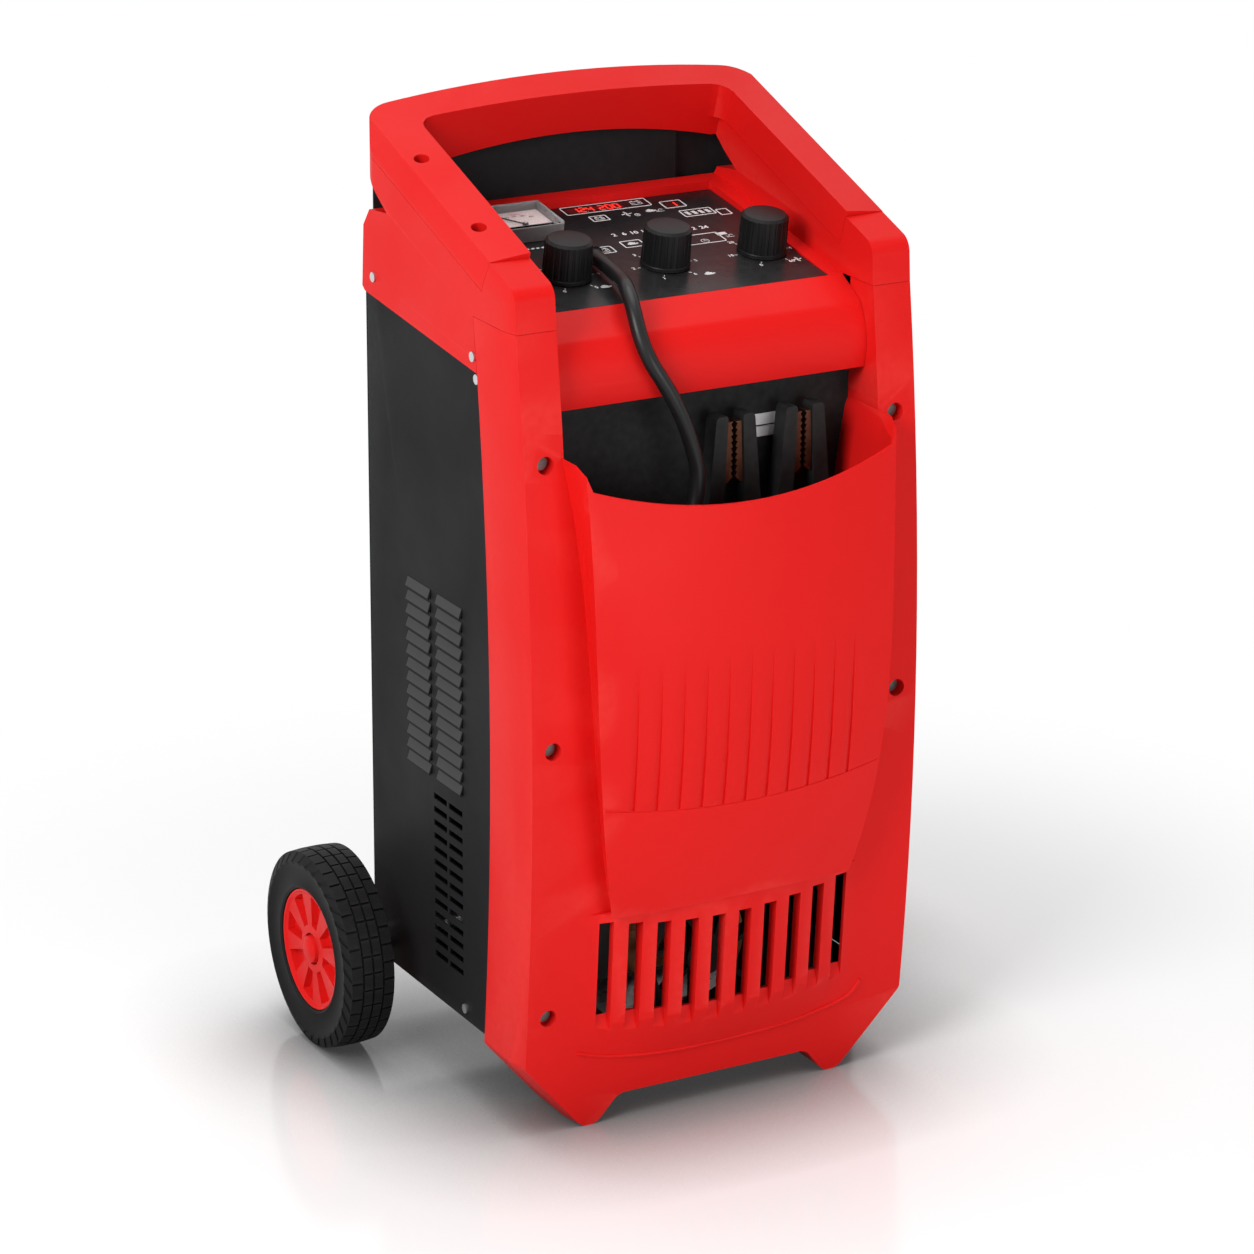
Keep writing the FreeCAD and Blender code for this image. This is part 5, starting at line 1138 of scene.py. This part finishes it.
def display_digits():
    """Lit digits behind the two windows."""
    marks = []
    for across, sign in ((-3.0, "1"), (3.0, "2"), (9.0, "4"), (18.5, "2"), (24.5, "0"), (30.5, "0")):
        marks += digit(across, 147.0, sign)
    marks.append(drawn_dot((6.0, 143.4), 0.5, 8))
    marks += digit(72.0, 137.0, "1")
    print_on_panel("display_digits", marks, DIGIT_ABOVE, LIT)


def meter_print():
    """Scale of the current meter, with its red end."""
    black = [drawn_arc(PIVOT, SCALE_RADIUS, 0.35, -SCALE_HALF, RED_FROM, 24)]
    red = [drawn_arc(PIVOT, SCALE_RADIUS - 0.2, 0.9, RED_FROM, SCALE_HALF, 12)]
    for step in range(13):
        angle = -SCALE_HALF + 7 * step
        long = 2.8 if step % 3 == 0 else 1.6
        tick = drawn_arc(PIVOT, SCALE_RADIUS + 0.2, long, angle - 0.35, angle + 0.35, 1)
        (red if angle > RED_FROM else black).append(tick)
    for step, number in enumerate(("0", "10", "20", "30", "40")):
        angle = math.radians(-40 + 20 * step)
        out = Vector((math.sin(angle), math.cos(angle)))
        black.append(drawn_number(number, Vector(PIVOT) + out * NUMBERS_RADIUS, 3.0))
    for side in (-1, 1):
        black.append(drawn_dot((PIVOT[0] + side * 22.0, PIVOT[1] - 6.0), 1.3))
    print_on_panel("meter_scale", black, DIAL_ABOVE, BLACK_INK, thick=DIAL_INK_THICK)
    print_on_panel("meter_red_end", red, DIAL_ABOVE, RED_INK, thick=DIAL_INK_THICK)


# Floor and light
FLOOR_LIFT = 0.04
FLOOR_NEAR = 0.28
FLOOR_FAR = 0.85
WORLD_LEVEL = 0.20
PLAIN_WHITE = (1, 1, 1, 1)


def floor_finish():
    """Pale gloss floor that shows white to the camera, keeps shadow and reflection, and has a painted contact
    shadow from ambient occlusion in its colour.
    """
    material, tree, surface = new_material("studio floor")
    surface.inputs["Specular IOR Level"].default_value = 0.35
    place = added(tree, "TexCoord")
    smear = added(tree, "TexNoise", scale=3.0, detail=3.0)
    spread = added(tree, "MapRange", to_min=0.10, to_max=0.16)
    # Ambient occlusion near the object darkens the floor's base colour, deepened by the gamma: a painted
    # contact shadow.
    painted_contact_shadow = added(tree, "AmbientOcclusion", samples=10, distance=0.14, color=(0.90, 0.90, 0.90, 1))
    depth = added(tree, "Gamma", gamma=1.6)
    path = added(tree, "LightPath")
    plain = added(tree, "Emission")
    away = added(tree, "VectorMath", operation="LENGTH")
    fade = added(tree, "MapRange", interpolation_type="SMOOTHERSTEP", from_min=FLOOR_NEAR, from_max=FLOOR_FAR,
                 to_min=FLOOR_LIFT)
    seen = added(tree, "Math", operation="MAXIMUM")
    share = added(tree, "Math", operation="MULTIPLY")
    mixed = added(tree, "MixShader")
    wired(tree, (painted_contact_shadow, "Color", depth, "Color"), (depth, "Color", surface, "Base Color"),
          (place, "Object", smear, "Vector"), (smear, "Fac", spread, "Value"),
          (spread, "Result", surface, "Roughness"), (place, "Object", away, 0), (away, "Value", fade, "Value"),
          (path, "Is Camera Ray", seen, 0), (path, "Is Glossy Ray", seen, 1), (fade, "Result", share, 0),
          (seen, "Value", share, 1), (share, "Value", mixed, "Fac"), (surface, "BSDF", mixed, 1),
          (plain, "Emission", mixed, 2), (mixed, "Shader", tree.nodes["Material Output"], "Surface"))
    return material


def stage_floor():
    """A wide floor under the wheels and the feet, which isn't part of the charger."""
    bpy.ops.mesh.primitive_plane_add(size=14.0, location=(0, 0, 0))
    floor = bpy.context.object
    floor.name = "studio_floor"
    floor.data.materials.append(floor_finish())


def light_world():
    """Soft level from all round; the camera, gloss and glass see plain white."""
    world = bpy.data.worlds.new("studio")
    bpy.context.scene.world = world
    world.use_nodes = True
    tree = world.node_tree
    level = tree.nodes["Background"]
    level.inputs["Color"].default_value = PLAIN_WHITE
    level.inputs["Strength"].default_value = WORLD_LEVEL
    plain = added(tree, "Background", color=PLAIN_WHITE, strength=1.0)
    path = added(tree, "LightPath")
    first = added(tree, "Math", operation="MAXIMUM")
    second = added(tree, "Math", operation="MAXIMUM")
    mixed = added(tree, "MixShader")
    wired(tree, (path, "Is Camera Ray", first, 0), (path, "Is Glossy Ray", first, 1),
          (first, "Value", second, 0), (path, "Is Transmission Ray", second, 1),
          (second, "Value", mixed, "Fac"), (level, "Background", mixed, 1), (plain, "Background", mixed, 2),
          (mixed, "Shader", tree.nodes["World Output"], "Surface"))


def hang_light(name, spot, aim, side, power):
    """A square soft light that looks at a point."""
    bpy.ops.object.light_add(type="AREA", location=spot)
    lamp = bpy.context.object
    lamp.name = name
    lamp.data.size = side
    lamp.data.energy = power
    lamp.rotation_euler = (Vector(aim) - Vector(spot)).to_track_quat("-Z", "Y").to_euler()


def light_stage():
    """World level, a key from the left, a low soft light in front and a broad sky from above."""
    light_world()
    hang_light("key_left", (-2.3, -1.1, 1.9), (0, 0, 0.60), 1.3, 67.0)
    hang_light("front_soft", (0.3, -2.4, 0.42), (0, 0, 0.06), 1.2, 19.0)
    bpy.ops.object.light_add(type="SUN", location=(0, 0, 3), rotation=(math.radians(-8), math.radians(4), 0))
    sky = bpy.context.object
    sky.name = "overhead"
    sky.data.energy = 1.85
    sky.data.angle = math.radians(50)


# The scene
place_camera()
finish_nodes()
lay_cords()
front_shell()
handle_frame()
top_cover()
for word, side in (("left", -1), ("right", 1)):
    louvred(word, side)
    tyre(word, side)
    hub(word, side)
panel_marks()
display_digits()
meter_print()
stage_floor()
light_stage()
bpy.context.scene.view_settings.view_transform = "Standard"
